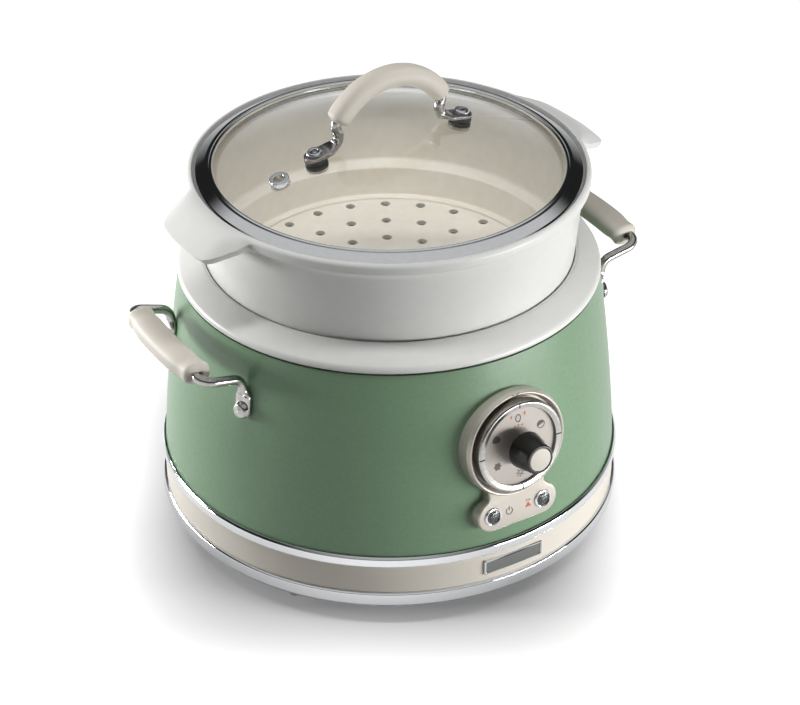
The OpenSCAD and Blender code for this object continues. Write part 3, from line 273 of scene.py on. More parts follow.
@dataclass(frozen=True)
class FacetedLens(Finish):
    """Smoked clear plastic with moulded facets behind a smooth face: a dark lens that glints in cells."""

    cell_mm: float = 1.1

    def grain(self, tree: bpy.types.NodeTree) -> bpy.types.NodeSocket:
        """Adds the facets' cells, in real size.

        Args:
            tree: The material's node tree.

        Returns:
            The cells' value.
        """
        place = add_node(tree, "ShaderNodeTexCoord")
        cells = add_node(
            tree,
            "ShaderNodeTexVoronoi",
            inputs={"Vector": place.outputs["Object"], "Scale": 1 / (self.cell_mm * MM), "Randomness": 0.35},
        )
        return cells.outputs["Distance"]


# Enamel baked on sheet steel: a smooth skin with a faint orange peel under a clear gloss
SAGE_ENAMEL = Finish(
    "sage_enamel", "sage_paint", "#769676", "#729272", 2.2, 0.003, 0.36, 0.02, coat=0.12, coat_roughness=0.1, ior=1.45
)
# Moulded polypropylene: white, softly glossy, with the faint cloud of a moulded wall
WHITE_POLYPROPYLENE = Finish(
    "white_polypropylene", "white_plastic", "#E4E4E1", "#E2E2DF", 6.0, 0.002, 0.33, 0.02, ior=1.49
)
# The same plastic inside the basket, painted brighter and creamier: painted light standing in for light through the
# lid and the thin wall
PAINTED_LIGHT_POLYPROPYLENE = Finish(
    "polypropylene_painted_light", "white_plastic", "#F4EEE4", "#F0E9DE", 6.0, 0.006, 0.42, 0.03, ior=1.49
)
# Moulded ABS with a fine spark-eroded skin: cream and satin; the grain is drawn coarser than life so that it shows
CREAM_ABS = Finish("cream_abs", "cream_plastic", "#D9D3C9", "#D3CDC2", 0.5, 0.012, 0.52, 0.04, ior=1.5)
# The same plastic in a paler batch and polished by the mould: the band takes a soft gloss
IVORY_ABS = Finish("ivory_abs", "ivory_plastic", "#E5DFD4", "#E0D9CD", 0.5, 0.008, 0.4, 0.04, ior=1.5)
# Pearl lacquered ABS: champagne with tiny flakes, drawn coarser than life so that they show
CHAMPAGNE_PEARL = Finish(
    "champagne_pearl_abs", "champagne_plastic", "#C4BDB3", "#CDC6BC", 0.35, 0.003, 0.34, 0.05, 0.35, coat=0.15
)
# Bright chrome plate on polished steel: a mirror with a trace of buffing
CHROME = Finish(
    "chrome_plate", "chrome", "#E3E5E7", "#E0E2E4", 4.0, 0.00005, 0.07, 0.01, 1.0, stretch=(1.0, 1.0, 6.0)
)
# Chrome plate on stamped or turned steel, a little cloudier and greyer, as on rods, tabs and the dial's ring
STAMPED_CHROME = Finish("chrome_plated_rod", "chrome", "#B9B7B4", "#ACAAA7", 2.0, 0.001, 0.22, 0.04, 1.0)
# Silver lacquer over moulded plastic: fine metal flakes under a satin skin
SILVER_LACQUER = Finish("silver_lacquer", "silver_face", "#ABA59E", "#A29C95", 0.4, 0.003, 0.45, 0.05, 0.3)
# Brushed nickel plate: a satin grey with fine level lines
SATIN_NICKEL = Finish(
    "satin_nickel", "chrome", "#8E908E", "#7C7E7C", 0.6, 0.004, 0.32, 0.06, 1.0, stretch=(1.0, 1.0, 14.0)
)
# Moulded black phenolic: near black with a soft gloss
BLACK_PHENOLIC = Finish("black_phenolic", "black_plastic", "#060606", "#0A0A0A", 0.6, 0.003, 0.34, 0.04)
# Moulded smoked acrylic: a dark lens with facets behind a glossy face, so it glints in cells
SMOKED_LENS = FacetedLens("smoked_acrylic", "lens", "#1C1E1C", "#3E423F", 1.0, 0.25, 0.12, 0.05, coat=0.6)
# Float glass bent and tempered: clear and mirror smooth
TEMPERED_GLASS = ClearGlass("tempered_glass", "glass", "#FDFEFD", "#FAFBFA", 30.0, 0.0, 0.0, 0.0, ior=1.5)
# Pad-printed ink, grey and orange: a thin film, flat and a little rough
GREY_INK = Finish("grey_ink", "silver_face", "#4E4B48", "#57534F", 0.6, 0.004, 0.55)
ORANGE_INK = Finish("orange_ink", "silver_face", "#D9703C", "#CE6532", 0.6, 0.004, 0.55)
# Galvanised sheet: grey with a broad spangle
ZINC_SHEET = Finish("zinc_sheet", "steel", "#A9ACAE", "#8F9396", 7.0, 0.01, 0.38, 0.08, 1.0)
# Turned and zinc-plated steel: bright, with the faint streaks of the tool
BRIGHT_STEEL = Finish("bright_steel", "steel", "#B4B6B8", "#A3A5A8", 1.5, 0.004, 0.24, 0.06, 1.0)
# Stamped brass pins: warm yellow with a bright rubbed face
PLATED_BRASS = Finish("plated_brass", "brass", "#C9B27C", "#B89F66", 2.0, 0.004, 0.22, 0.05, 1.0)
# Cast aluminium: pale grey with a sandy skin
CAST_ALUMINIUM = Finish("cast_aluminium", "aluminium", "#B7B9BA", "#A6A8AA", 1.2, 0.03, 0.42, 0.08, 1.0)
# Spun aluminium pot: fine rings from the spinning tool, drawn coarser than life so that they show
SPUN_ALUMINIUM = Finish(
    "spun_aluminium", "aluminium", "#B3B5B6", "#A2A4A6", 3.0, 0.006, 0.3, 0.06, 1.0, stretch=(0.4, 0.4, 6.0)
)
# Glass-fibre board under solder mask: green, half glossy, with a trace of the weave
GLASS_FIBRE = Finish("glass_fibre_board", "board", "#3E6A49", "#355E40", 0.8, 0.004, 0.4)
# Pressed and fired steatite: buff, dry and finely pitted
CERAMIC = Finish("steatite_ceramic", "fuse", "#D9D1B9", "#CEC5AC", 0.8, 0.01, 0.5)
# Moulded silicone rubber: dark grey and dull
SILICONE = Finish("silicone_rubber", "silicone", "#565654", "#4C4C4A", 1.5, 0.006, 0.5)
# Extruded silicone sleeve of the leads: brick red and soft
LEAD_SILICONE = Finish("silicone_lead", "lead", "#9A3B30", "#8D342A", 1.5, 0.006, 0.45)


# Outlines and meshes, in millimetres until a piece is made


def corner(a: Vector, b: Vector, c: Vector, radius: float, steps: int = 5) -> list[Vector]:
    """Rounds one corner of an outline.

    Args:
        a: Point before the corner.
        b: The corner.
        c: Point after the corner.
        radius: Radius of the round, 0 for a sharp corner.
        steps: Steps along the round.

    Returns:
        Points that stand for the corner.
    """
    if radius <= 0:
        return [b.copy()]
    u, v = (a - b).normalized(), (c - b).normalized()
    half = math.acos(max(-1.0, min(1.0, u.dot(v)))) / 2
    if half > math.radians(89.5):
        return [b.copy()]
    middle = b + (u + v).normalized() * (radius / math.sin(half))
    reach = radius / math.tan(half)
    start, end = b + u * reach - middle, b + v * reach - middle
    sweep = math.pi - 2 * half
    points = []
    for i in range(steps + 1):
        t = i / steps
        weight_a, weight_b = math.sin((1 - t) * sweep), math.sin(t * sweep)
        points.append(middle + (start * weight_a + end * weight_b) / math.sin(sweep))
    return points


def rounded(points: Sequence[tuple[float, ...]], closed: bool = True, steps: int = 5) -> list[Vector]:
    """Makes an outline from points with an optional corner radius each.

    Args:
        points: Points as (x, y) or (x, y, radius).
        closed: Whether the outline closes.
        steps: Steps along each round.

    Returns:
        The outline's points.
    """
    flat = [Vector(p[:2]) for p in points]
    count = len(flat)
    outline: list[Vector] = []
    for i, p in enumerate(points):
        inner = closed or 0 < i < count - 1
        radius = p[2] if len(p) > 2 and inner else 0.0
        outline += corner(flat[i - 1], flat[i], flat[(i + 1) % count], radius, steps)
    return outline


def skin(rings: Sequence[Sequence[Vector]], wrap_rings: bool, wrap_points: bool) -> Shape:
    """Joins rings of points of one length to a skin.

    Args:
        rings: The rings.
        wrap_rings: Whether the last ring joins the first.
        wrap_points: Whether each ring closes.

    Returns:
        Vertices and faces.
    """
    count, size = len(rings), len(rings[0])
    vertices = [Vector(p) for ring in rings for p in ring]
    faces: Faces = []
    for i in range(count if wrap_rings else count - 1):
        k = (i + 1) % count
        for j in range(size if wrap_points else size - 1):
            m = (j + 1) % size
            faces.append((i * size + j, i * size + m, k * size + m, k * size + j))
    return vertices, faces


def tube(rings: Sequence[Sequence[Vector]]) -> Shape:
    """Joins closed rings to a tube with closed ends.

    Args:
        rings: The rings from end to end.

    Returns:
        Vertices and faces.
    """
    vertices, faces = skin(rings, False, True)
    size, last = len(rings[0]), (len(rings) - 1) * len(rings[0])
    faces.append(tuple(range(size)))
    faces.append(tuple(last + size - 1 - j for j in range(size)))
    return vertices, faces


def merged(shapes: Iterable[Shape]) -> Shape:
    """Joins shapes to one.

    Args:
        shapes: Vertices and faces of each shape.

    Returns:
        Vertices and faces.
    """
    vertices: list[Vector] = []
    faces: Faces = []
    for part_vertices, part_faces in shapes:
        first = len(vertices)
        vertices += part_vertices
        faces += [tuple(first + i for i in face) for face in part_faces]
    return vertices, faces


def revolve(
    points: Sequence[tuple[float, ...]], closed: bool = True, count: int = 160, place_in: Matrix | None = None
) -> Shape:
    """Turns a section about an axis.

    Args:
        points: The section as (radius, height) or (radius, height, corner radius).
        closed: Whether the section closes; an open one starts and ends on the axis.
        count: Steps round the axis.
        place_in: Frame of the axis, the object's own where it is left out.

    Returns:
        Vertices and faces.
    """
    section = rounded(points, closed)
    at = place_in or Matrix.Identity(4)
    rings = []
    for i in range(count):
        a = 2 * math.pi * i / count
        rings.append([at @ Vector((p.x * math.cos(a), p.x * math.sin(a), p.y)) for p in section])
    return skin(rings, True, closed)


def oval(half_w: float, half_h: float, power: float, count: int) -> list[Point2]:
    """Makes a superellipse.

    Args:
        half_w: Half its width.
        half_h: Half its height.
        power: 2 for an ellipse, more for a fuller corner.
        count: Number of points.

    Returns:
        The outline's points.
    """
    points = []
    for i in range(count):
        a = 2 * math.pi * i / count
        c, s = math.cos(a), math.sin(a)
        x, y = (math.copysign(abs(share) ** (2 / power), share) for share in (c, s))
        points.append((half_w * x, half_h * y))
    return points


def bent_path(points: Sequence[Vector], bends: Sequence[float], step: float = 0.8) -> list[Vector]:
    """Runs along straight lengths with a true bend at each inner point.

    Args:
        points: The corners.
        bends: Bend radius at each inner point.
        step: Distance between samples.

    Returns:
        Points along the path, evenly spaced.
    """
    rough = [points[0].copy()]
    for i in range(1, len(points) - 1):
        rough += corner(points[i - 1], points[i], points[i + 1], bends[i - 1], 12)
    rough.append(points[-1].copy())
    path, carry = [rough[0].copy()], 0.0
    for a, b in zip(rough, rough[1:]):
        length = (b - a).length
        at = step - carry
        while at <= length:
            path.append(a.lerp(b, at / length))
            at += step
        carry = length - (at - step)
    if (path[-1] - rough[-1]).length > step / 2:
        path.append(rough[-1].copy())
    else:
        path[-1] = rough[-1].copy()
    return path


def smooth_step(value: float, low: float, high: float) -> float:
    """Rises smoothly from 0 at low to 1 at high."""
    t = max(0.0, min(1.0, (value - low) / (high - low)))
    return t * t * (3 - 2 * t)


def sweep(
    path: Sequence[Vector], across: Vector, section: Callable[[float], tuple[float, float, float]], count: int = 20
) -> list[list[Vector]]:
    """Sweeps an oval along a path.

    Args:
        path: Points along the path.
        across: Direction of the oval's width at the start.
        section: Half width, half height and power at a distance along the path.
        count: Points round the oval.

    Returns:
        Rings of points.
    """
    rings, run = [], 0.0
    side = across
    for i, p in enumerate(path):
        ahead, behind = path[min(i + 1, len(path) - 1)], path[max(i - 1, 0)]
        along = (ahead - behind).normalized()
        side = (side - along * side.dot(along)).normalized()
        up = along.cross(side)
        if i:
            run += (p - path[i - 1]).length
        rings.append([p + side * x + up * y for x, y in oval(*section(run), count)])
    return rings


def flattened_rod(run: float, flat: Point2, rod_r: float, change: Point2) -> tuple[float, float, float]:
    """Gives the section of a round rod with a flattened end that has a round nose.

    Args:
        run: Distance from the end.
        flat: Half width and half thickness of the flat.
        rod_r: Radius of the rod.
        change: Distances where the flat starts and ends to turn round.

    Returns:
        Half width, half height and power of an oval.
    """
    least, square, round_power = 0.02, 7.0, 2.0
    blend = smooth_step(run, *change)
    half_w, half_h = (half + (rod_r - half) * blend for half in flat)
    if run < flat[0]:
        half_w *= math.sqrt(max(least, 1 - (1 - run / flat[0]) ** 2))
    return half_w, half_h, square + (round_power - square) * blend


def outline_rect(width: float, height: float, radius: float, steps: int = 6) -> list[Point2]:
    """Makes a rectangle with round corners about the origin.

    Args:
        width: Its width.
        height: Its height.
        radius: Radius of its corners.
        steps: Steps along each corner.

    Returns:
        The outline's points.
    """
    x, y = width / 2, height / 2
    points = rounded([(-x, -y, radius), (x, -y, radius), (x, y, radius), (-x, y, radius)], steps=steps)
    return [(p.x, p.y) for p in points]


def finish_mesh(mesh: bpy.types.Mesh, angle: float) -> None:
    """Welds a mesh, turns its faces outward and shades it smooth up to an angle.

    Args:
        mesh: The mesh.
        angle: Edges sharper than this many degrees stay sharp.
    """
    weld = 2e-6
    work = bmesh.new()
    work.from_mesh(mesh)
    bmesh.ops.remove_doubles(work, verts=work.verts, dist=weld)
    bmesh.ops.dissolve_degenerate(work, edges=work.edges, dist=weld)
    bmesh.ops.recalc_face_normals(work, faces=work.faces)
    work.to_mesh(mesh)
    work.free()
    mesh.polygons.foreach_set("use_smooth", [True] * len(mesh.polygons))
    mesh.set_sharp_from_angle(angle=math.radians(angle))
    mesh.update()


def place(
    name: str, mesh: bpy.types.Mesh, finish: Finish, body: Body, replaces: Iterable[str] = ()
) -> bpy.types.Object:
    """Puts a finished mesh into the scene as a piece.

    Args:
        name: The piece's name.
        mesh: Its mesh, in the frame's place.
        finish: Its finish.
        body: The body it rides on.
        replaces: CAD nodes that it stands for.

    Returns:
        The piece.
    """
    piece = bpy.data.objects.new(name, mesh)
    bpy.context.scene.collection.objects.link(piece)
    mesh.materials.clear()
    mesh.materials.append(finish.material())
    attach(piece, body.value)
    if replaces:
        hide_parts(*replaces)
    log.info("piece %s, %d faces", name, len(mesh.polygons))
    return piece


def make(
    name: str,
    shape: Shape,
    finish: Finish,
    body: Body,
    replaces: Iterable[str] = (),
    angle: float = 38.0,
) -> bpy.types.Object:
    """Makes a piece from vertices in millimetres and faces.

    Args:
        name: The piece's name.
        shape: Vertices and faces.
        finish: Its finish.
        body: The body it rides on.
        replaces: CAD nodes that it stands for.
        angle: Edges sharper than this many degrees stay sharp.

    Returns:
        The piece.
    """
    vertices, faces = shape
    mesh = bpy.data.meshes.new(name)
    mesh.from_pydata([Vector(v) * MM for v in vertices], [], faces)
    finish_mesh(mesh, angle)
    return place(name, mesh, finish, body, replaces)


def soften(node: str, name: str, finish: Finish, body: Body, edge_mm: float, angle: float = 35.0) -> bpy.types.Object:
    """Makes a piece from a CAD node with its sharp edges broken.

    Args:
        node: The CAD node.
        name: The piece's name.
        finish: Its finish.
        body: The body it rides on.
        edge_mm: Width of the broken edge.
        angle: Edges sharper than this many degrees are broken.

    Returns:
        The piece.
    """
    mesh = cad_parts[node].data.copy()
    mesh.name = name
    finish_mesh(mesh, angle)
    piece = place(name, mesh, finish, body, [node])
    bevel = piece.modifiers.new("broken edge", "BEVEL")
    bevel.width = edge_mm * MM
    bevel.segments = 2
    bevel.limit_method = "ANGLE"
    bevel.angle_limit = math.radians(angle)
    bevel.use_clamp_overlap = True
    bevel.harden_normals = True
    return piece


def paint(finish: Finish, *nodes: str) -> None:
    """Gives CAD nodes whose shape is right their finish.

    Args:
        finish: The finish.
        nodes: Names of the nodes.
    """
    for node in nodes:
        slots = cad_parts[node].data.materials
        slots.clear()
        slots.append(finish.material())
        log.info("node %s takes %s", node, finish.name)


# Sub-assemblies, with their sizes in millimetres and degrees


@dataclass
class HeatedBase:
    """The painted base: shell, collar, trim rings, band, feet and the bare plate."""

    band_r: float = 138.0
    ring_r: float = 139.98
    ring_z: float = 12.0
    ring_h: float = 9.0
    ring_depth: float = 5.5
    mouth_r: float = 109.5
    collar_r: float = 125.0
    collar_z: float = 161.0
    collar_top: float = 174.0
    collar_skirt: float = 4.8
    collar_gap: float = 1.5
    collar_step: float = 3.5
    plate_w: float = 40.0
    plate_h: float = 10.0
    plate_t: float = 1.6
    plate_z: float = 30.5
    plate_corner: float = 1.2
    frame_w: float = 1.3
    field_deep: float = 0.6

    def build(self) -> None:
        """Dresses the base."""
        paint(SAGE_ENAMEL, "outer_shell")
        paint(IVORY_ABS, "base_band")
        paint(CHROME, "upper_trim_ring")
        self.lower_ring()
        soften("feet", "tapered_feet", CREAM_ABS, Body.BASE, 0.5)
        self.collar()
        self.bare_plate()

    def lower_ring(self) -> None:
        """Builds the lower trim ring: an upright face with a soft edge above and below."""
        low, high, r = self.ring_z, self.ring_z + self.ring_h, self.ring_r
        section = [
            (r - self.ring_depth, low + 0.2),
            (r - 1.4, low + 0.2, 0.6),
            (r, low + 1.4, 1.0),
            (r, high - 0.8, 0.8),
            (r - 0.8, high, 0.3),
            (r - self.ring_depth, high),
        ]
        make("chrome_base_ring", revolve(section, count=240), CHROME, Body.BASE, ["lower_trim_ring"], angle=50)

    def collar(self) -> None:
        """Builds the collar: a soft cone from the mouth down to a short skirt on the shell."""
        foot = self.collar_z + 2.0
        section = [
            (self.mouth_r, foot),
            (self.mouth_r, self.collar_top, 1.0),
            (self.mouth_r + 2.0, self.collar_top, 3.0),
            (self.collar_r, self.collar_z + self.collar_skirt, 4.0),
            (self.collar_r, self.collar_z + self.collar_gap, 0.4),
            (self.collar_r - self.collar_step, self.collar_z + self.collar_gap),
            (self.collar_r - self.collar_step, foot),
        ]
        make("collar", revolve(section, count=240), WHITE_POLYPROPYLENE, Body.BASE, ["top_collar"], angle=46)

    def bare_plate(self) -> None:
        """Builds the bare plate: a raised chrome frame round a satin field, bent to the band."""
        face = self.band_r + self.plate_t
        steps = [
            (0.0, self.band_r + 0.1),
            (0.0, face - 0.4),
            (0.4, face),
            (self.frame_w - 0.3, face),
            (self.frame_w, face - 0.3),
            (self.frame_w, self.band_r + 0.1),
        ]
        rings = [self.bent_outline(inset, radius) for inset, radius in steps]
        make("plate_frame", skin(rings, True, True), CHROME, Body.BASE, ["badge_plate"])
        lap, half_count = 0.15, 12
        half_w, half_h = (size / 2 - self.frame_w + lap for size in (self.plate_w, self.plate_h))
        front, back = face - self.field_deep, self.band_r + lap
        section = ((front, -half_h), (front, half_h), (back, half_h), (back, -half_h))
        columns = []
        for i in range(2 * half_count + 1):
            turn = half_w * (i / half_count - 1) / self.band_r
            columns.append([Vector((r * math.sin(turn), -r * math.cos(turn), self.plate_z + z)) for r, z in section])
        make("plate_field", tube(columns), SATIN_NICKEL, Body.BASE)

    def bent_outline(self, inset: float, radius: float) -> list[Vector]:
        """Lays the plate's outline on a cylinder.

        Args:
            inset: How far the outline lies inside the plate's edge.
            radius: Radius of the cylinder.

        Returns:
            The outline's points.
        """
        corner_r = max(0.4, self.plate_corner - inset / 2)
        outline = outline_rect(self.plate_w - 2 * inset, self.plate_h - 2 * inset, corner_r)
        points = []
        for x, y in outline:
            turn = x / self.band_r
            points.append(Vector((radius * math.sin(turn), -radius * math.cos(turn), self.plate_z + y)))
        return points


@dataclass
class ControlPanel:
    """The bezel with its dial, knob, lamps and printed marks."""

    centre_y: float = -131.526
    centre_z: float = 110.0
    tilt: float = 6.6196
    face_z: float = 8.2
    lobe_z: float = 4.2
    bezel_z: float = 6.6
    bezel_r: float = 32.8
    recess_r: float = 28.8
    floor_r: float = 20.0
    floor_z: float = 2.0
    board_z: float = -12.0
    sink: float = 0.4
    shell_r: float = 131.5
    shell_arc: float = 1200.0
    steps: int = 180
    lobe_r: float = 9.9
    waist_r: float = 5.0
    knob_r: float = 11.2
    knob_end_r: float = 8.8
    neck_r: float = 5.6
    skirt_z: float = 14.0
    knob_len: float = 21.0
    cap_r: float = 7.0
    notch_r: float = 26.0
    notch_z: float = 9.8
    mark_r: float = 17.4
    lamp_x: float = 17.0
    lamp_y: float = -42.5
    boss_x: float = 19.0
    boss_y: float = 12.0
    boss_r: float = 3.2
    boss_bore_r: float = 1.45
    ink: float = 0.12
    ink_sink: float = 0.05

    def build(self) -> None:
        """Dresses the panel."""
        self.bezel_ring()
        self.bezel_lobe()
        self.bezel_bosses()
        self.knob()
        paint(CHROME, "lamp_bezels")
        paint(STAMPED_CHROME, "dial_ring")
        paint(SMOKED_LENS, "lamp_lenses")
        paint(SILVER_LACQUER, "dial_face")
        self.print_dial()
        self.print_bezel()

    def shell_z(self, x: float, y: float) -> float:
        """Gives the height of the shell's curved skin under a point of the panel."""
        return -(x**2) / (2 * self.shell_r) - y**2 / (2 * self.shell_arc)

    def bezel_ring(self) -> None:
        """Builds the bezel's crowned ring round the dial."""
        place_in = self.frame()
        section = rounded(
            [
                (self.floor_r, self.floor_z - 1.5),
                (self.floor_r, self.floor_z),
                (self.recess_r, self.floor_z, 0.3),
                (self.recess_r + 0.2, self.floor_z + 1.0, 0.6),
                (self.recess_r + 1.7, self.bezel_z - 0.1, 1.2),
                (self.recess_r + 2.8, self.bezel_z, 0.8),
                (self.bezel_r, self.bezel_z * 0.62, 2.0),
                (self.bezel_r, 0.0),
            ]
        )
        rings = []
        for i in range(self.steps):
            a = 2 * math.pi * i / self.steps
            ring = [Vector((p.x * math.cos(a), p.x * math.sin(a), p.y)) for p in section]
            ring[-1].z = self.shell_z(ring[-1].x, ring[-1].y) - self.sink
            rings.append([place_in @ p for p in ring])
        make("bezel_ring", skin(rings, True, True), CHAMPAGNE_PEARL, Body.BASE, ["control_bezel"], angle=46)

    def bezel_lobe(self) -> None:
        """Builds the lobe under the ring, with a soft edge."""
        place_in = self.frame()
        edge = ((0.0, 1.2), (0.15, 0.7), (0.45, 0.3), (0.8, 0.07), (1.3, 0.0))
        rings = [
            [place_in @ Vector((x, y, self.shell_z(x, y) - self.sink)) for x, y in self.lobe_outline(0.0)],
            *(
                [place_in @ Vector((x, y, self.lobe_z - down)) for x, y in self.lobe_outline(inset)]
                for inset, down in edge
            ),
        ]
        make("bezel_lobe", tube(rings), CHAMPAGNE_PEARL, Body.BASE, angle=46)

    def bezel_bosses(self) -> None:
        """Builds the bosses behind the bezel that carry the board."""
        spots = [(side.value * self.boss_x, self.boss_y, self.floor_z) for side in Side]
        spots.append((0.0, self.lamp_y, self.lobe_z))
        bosses = []
        inner, outer, low = self.boss_bore_r, self.boss_r, self.board_z
        for x, y, face in spots:
            high = face - 1
            section = [(inner, low), (outer, low), (outer, high), (inner, high)]
            at = self.frame() @ Matrix.Translation((x, y, 0.0))
            bosses.append(revolve(section, count=32, place_in=at))
        make("bezel_bosses", merged(bosses), CHAMPAGNE_PEARL, Body.BASE)

    def lobe_outline(self, inset: float) -> list[Point2]:
        """Draws the lobe: a waist on each side, two round ends and a hidden edge under the ring.

        Args:
            inset: How far the outline lies inside the lobe's edge.

        Returns:
            The outline's points, the same number for each inset.
        """
        end = Vector((self.lamp_x, self.lamp_y))
        long_way, short_way = self.bezel_r + self.waist_r, self.lobe_r + self.waist_r
        along = (long_way**2 - short_way**2 + end.length_squared) / (2 * end.length)
        off = math.sqrt(long_way**2 - along**2)
        way = end.normalized()
        waist = way * along + Vector((-way.y, way.x)) * off
        to_ring, to_end = -waist, end - waist
        start, stop = math.atan2(to_ring.y, to_ring.x), math.atan2(to_end.y, to_end.x)
        start -= 2 * math.pi if start > stop else 0.0
        start, stop = (start, stop) if stop - start < math.pi else (start + 2 * math.pi, stop)
        right, waist_steps, end_steps = [], 10, 24
        for i in range(waist_steps + 1):
            a = start + (stop - start) * i / waist_steps
            right.append(waist + Vector((math.cos(a), math.sin(a))) * (self.waist_r + inset))
        turn = math.atan2(-to_end.y, -to_end.x)
        for i in range(end_steps + 1):
            a = turn + (-math.pi / 2 - turn) * i / end_steps
            right.append(end + Vector((math.cos(a), math.sin(a))) * (self.lobe_r - inset))
        left = [Vector((-p.x, p.y)) for p in reversed(right)]
        hidden = [Vector((x, -self.recess_r - 1.2)) for x in (-9.0, 9.0)]
        return [(p.x, p.y) for p in (*right, *left, *hidden)]

    def knob(self) -> None:
        """Builds the knob with its cap let into the end."""
        place_in = self.frame()
        end = self.face_z + self.knob_len
        grip = [
            (0.0, self.face_z - 0.1),
            (self.neck_r, self.face_z - 0.1),
            (self.neck_r, self.skirt_z),
            (self.knob_r, self.skirt_z, 0.6),
            (self.knob_end_r, end, 1.3),
            (self.cap_r + 0.1, end, 0.3),
            (self.cap_r + 0.1, end - 1.0),
            (0.0, end - 1.0),
        ]
        make("knob", revolve(grip, False, count=96, place_in=place_in), BLACK_PHENOLIC, Body.DIAL, ["knob_grip"])
        cap = [(0.0, end - 1.2), (self.cap_r, end - 1.2), (self.cap_r, end + 0.2, 0.6), (0.0, end + 0.5)]
        make("knob_button", revolve(cap, False, count=96, place_in=place_in), CREAM_ABS, Body.DIAL, ["knob_cap"])

    def frame(self) -> Matrix:
        """Gives the panel's frame: z out of the shell, y up."""
        turn = Matrix.Rotation(math.radians(90 - self.tilt), 4, "X")
        return Matrix.Translation((0.0, self.centre_y, self.centre_z)) @ turn

    def mark(
        self, name: str, outlines: Sequence[Sequence[Point2]], height: float, finish: Finish, body: Body
    ) -> bpy.types.Object:
        """Prints filled outlines on the panel as a thin film.

        Args:
            name: The piece's name.
            outlines: Closed outlines in the panel's plane.
            height: Height of the surface under the film.
            finish: The ink.
            body: The body that carries the film.

        Returns:
            The piece.
        """
        place_in = self.frame()
        levels = (height - self.ink_sink, height + self.ink)
        films = [tube([[place_in @ Vector((x, y, z)) for x, y in outline] for z in levels]) for outline in outlines]
        return make(name, merged(films), finish, body, angle=30)

    @staticmethod
    def moved(outline: Iterable[Point2], x: float, y: float) -> list[Point2]:
        """Moves an outline by x and y."""
        return [(px + x, py + y) for px, py in outline]

    @staticmethod
    def ring(x: float, y: float, outer: float, inner: float, start: float = 0, end: float = 360) -> list[list[Point2]]:
        """Makes a ring or an arc from short plates.

        Args:
            x: Middle of the ring.
            y: Middle of the ring.
            outer: Outer radius.
            inner: Inner radius.
            start: First angle in degrees.
            end: Last angle in degrees.

        Returns:
            Outlines of the plates.
        """
        count = max(8, round((end - start) / 15))
        turns = [math.radians(start + (end - start) * i / count) for i in range(count + 1)]
        return [
            [(x + r * math.cos(t), y + r * math.sin(t)) for r, t in ((inner, a), (outer, a), (outer, b), (inner, b))]
            for a, b in zip(turns, turns[1:])
        ]

    @staticmethod
    def blob(x: float, y: float, radius: float, lobes: int, swing: float, count: int = 40) -> list[Point2]:
        """Makes a round mark with lobes.

        Args:
            x: Middle of the mark.
            y: Middle of the mark.
            radius: Mean radius.
            lobes: Number of lobes.
            swing: Share of the radius that the lobes add and take.
            count: Number of points.

        Returns:
            The outline.
        """
        points = []
        for i in range(count):
            a = 2 * math.pi * i / count
            r = radius * (1 + swing * math.cos(lobes * a))
            points.append((x + r * math.cos(a), y + r * math.sin(a)))
        return points

    def at(self, turn: float, radius: float | None = None) -> Point2:
        """Gives the place of a dial mark, with the turn in degrees clockwise from the top."""
        r = radius or self.mark_r
        return r * math.sin(math.radians(turn)), r * math.cos(math.radians(turn))

    def print_dial(self) -> None:
        """Prints the settings on the dial's face and paints shade into the notches of its ring as a dark grey film."""
        narrow = 0.72
        zero = [[(x * narrow, y) for x, y in plate] for plate in self.ring(*self.at(0), 2.6, 1.9)]
        outer = [self.at(turn, self.mark_r + 2.4) for turn in (-13, 13)]
        inner = [self.at(turn, self.mark_r - 4.6) for turn in (-11, 0, 11)]
        ticks = [self.moved(outline_rect(0.9, 2.2, 0.4, 3), *spot) for spot in outer]
        ticks += [self.moved(outline_rect(0.8, 1.5, 0.35, 3), *spot) for spot in inner]
        x, y = self.at(60)
        moon = self.ring(x, y, 2.6, 2.1)
        moon.append([(x + 2.2 * math.cos(a), y + 2.2 * math.sin(a)) for a in self.arc(20, 200)])
        x, y = self.at(120)
        bars = [self.moved(outline_rect(4.4, 0.8, 0.35, 3), x, y + rise) for rise in (-1.7, 0, 1.7)]
        x, y = self.at(180)
        star = [*self.ring(x, y + 0.2, 1.5, 1.0), *self.rays(x, y + 0.2, 8, 2.0, 2.9)]
        flower = [self.blob(*self.at(240), 2.2, 6, 0.18)]
        x, y = self.at(300)
        leaf = [(x + 2.5 * math.cos(a) * (1 - 0.45 * math.sin(a)), y + 2.3 * math.sin(a)) for a in self.arc(0, 345)]
        marks = {
            "dial_zero": (zero, GREY_INK),
            "dial_ticks": (ticks, ORANGE_INK),
            "dial_half_moon": (moon, GREY_INK),
            "dial_bars": (bars, GREY_INK),
            "dial_star": (star, GREY_INK),
            "dial_flower": (flower, GREY_INK),
            "dial_leaf": ([leaf], GREY_INK),
        }
        for name, (outlines, ink) in marks.items():
            self.mark(name, outlines, self.face_z, ink, Body.DIAL)
        # Painted shade: a grey film laid in each of the ring's four notches
        line = self.moved(outline_rect(3.4, 0.6, 0.2, 2), self.notch_r, 0.0)
        turns = [(math.cos(a), math.sin(a)) for a in self.arc(0, 270, 90)]
        lines = [[(x * c - y * s, x * s + y * c) for x, y in line] for c, s in turns]
        self.mark("dial_notch_painted_shade", lines, self.notch_z, GREY_INK, Body.DIAL)

    @staticmethod
    def arc(start: float, end: float, step: float = 15) -> list[float]:
        """Gives angles in radians from start to end, in degrees."""
        count = max(1, round((end - start) / step))
        return [math.radians(start + (end - start) * i / count) for i in range(count + 1)]

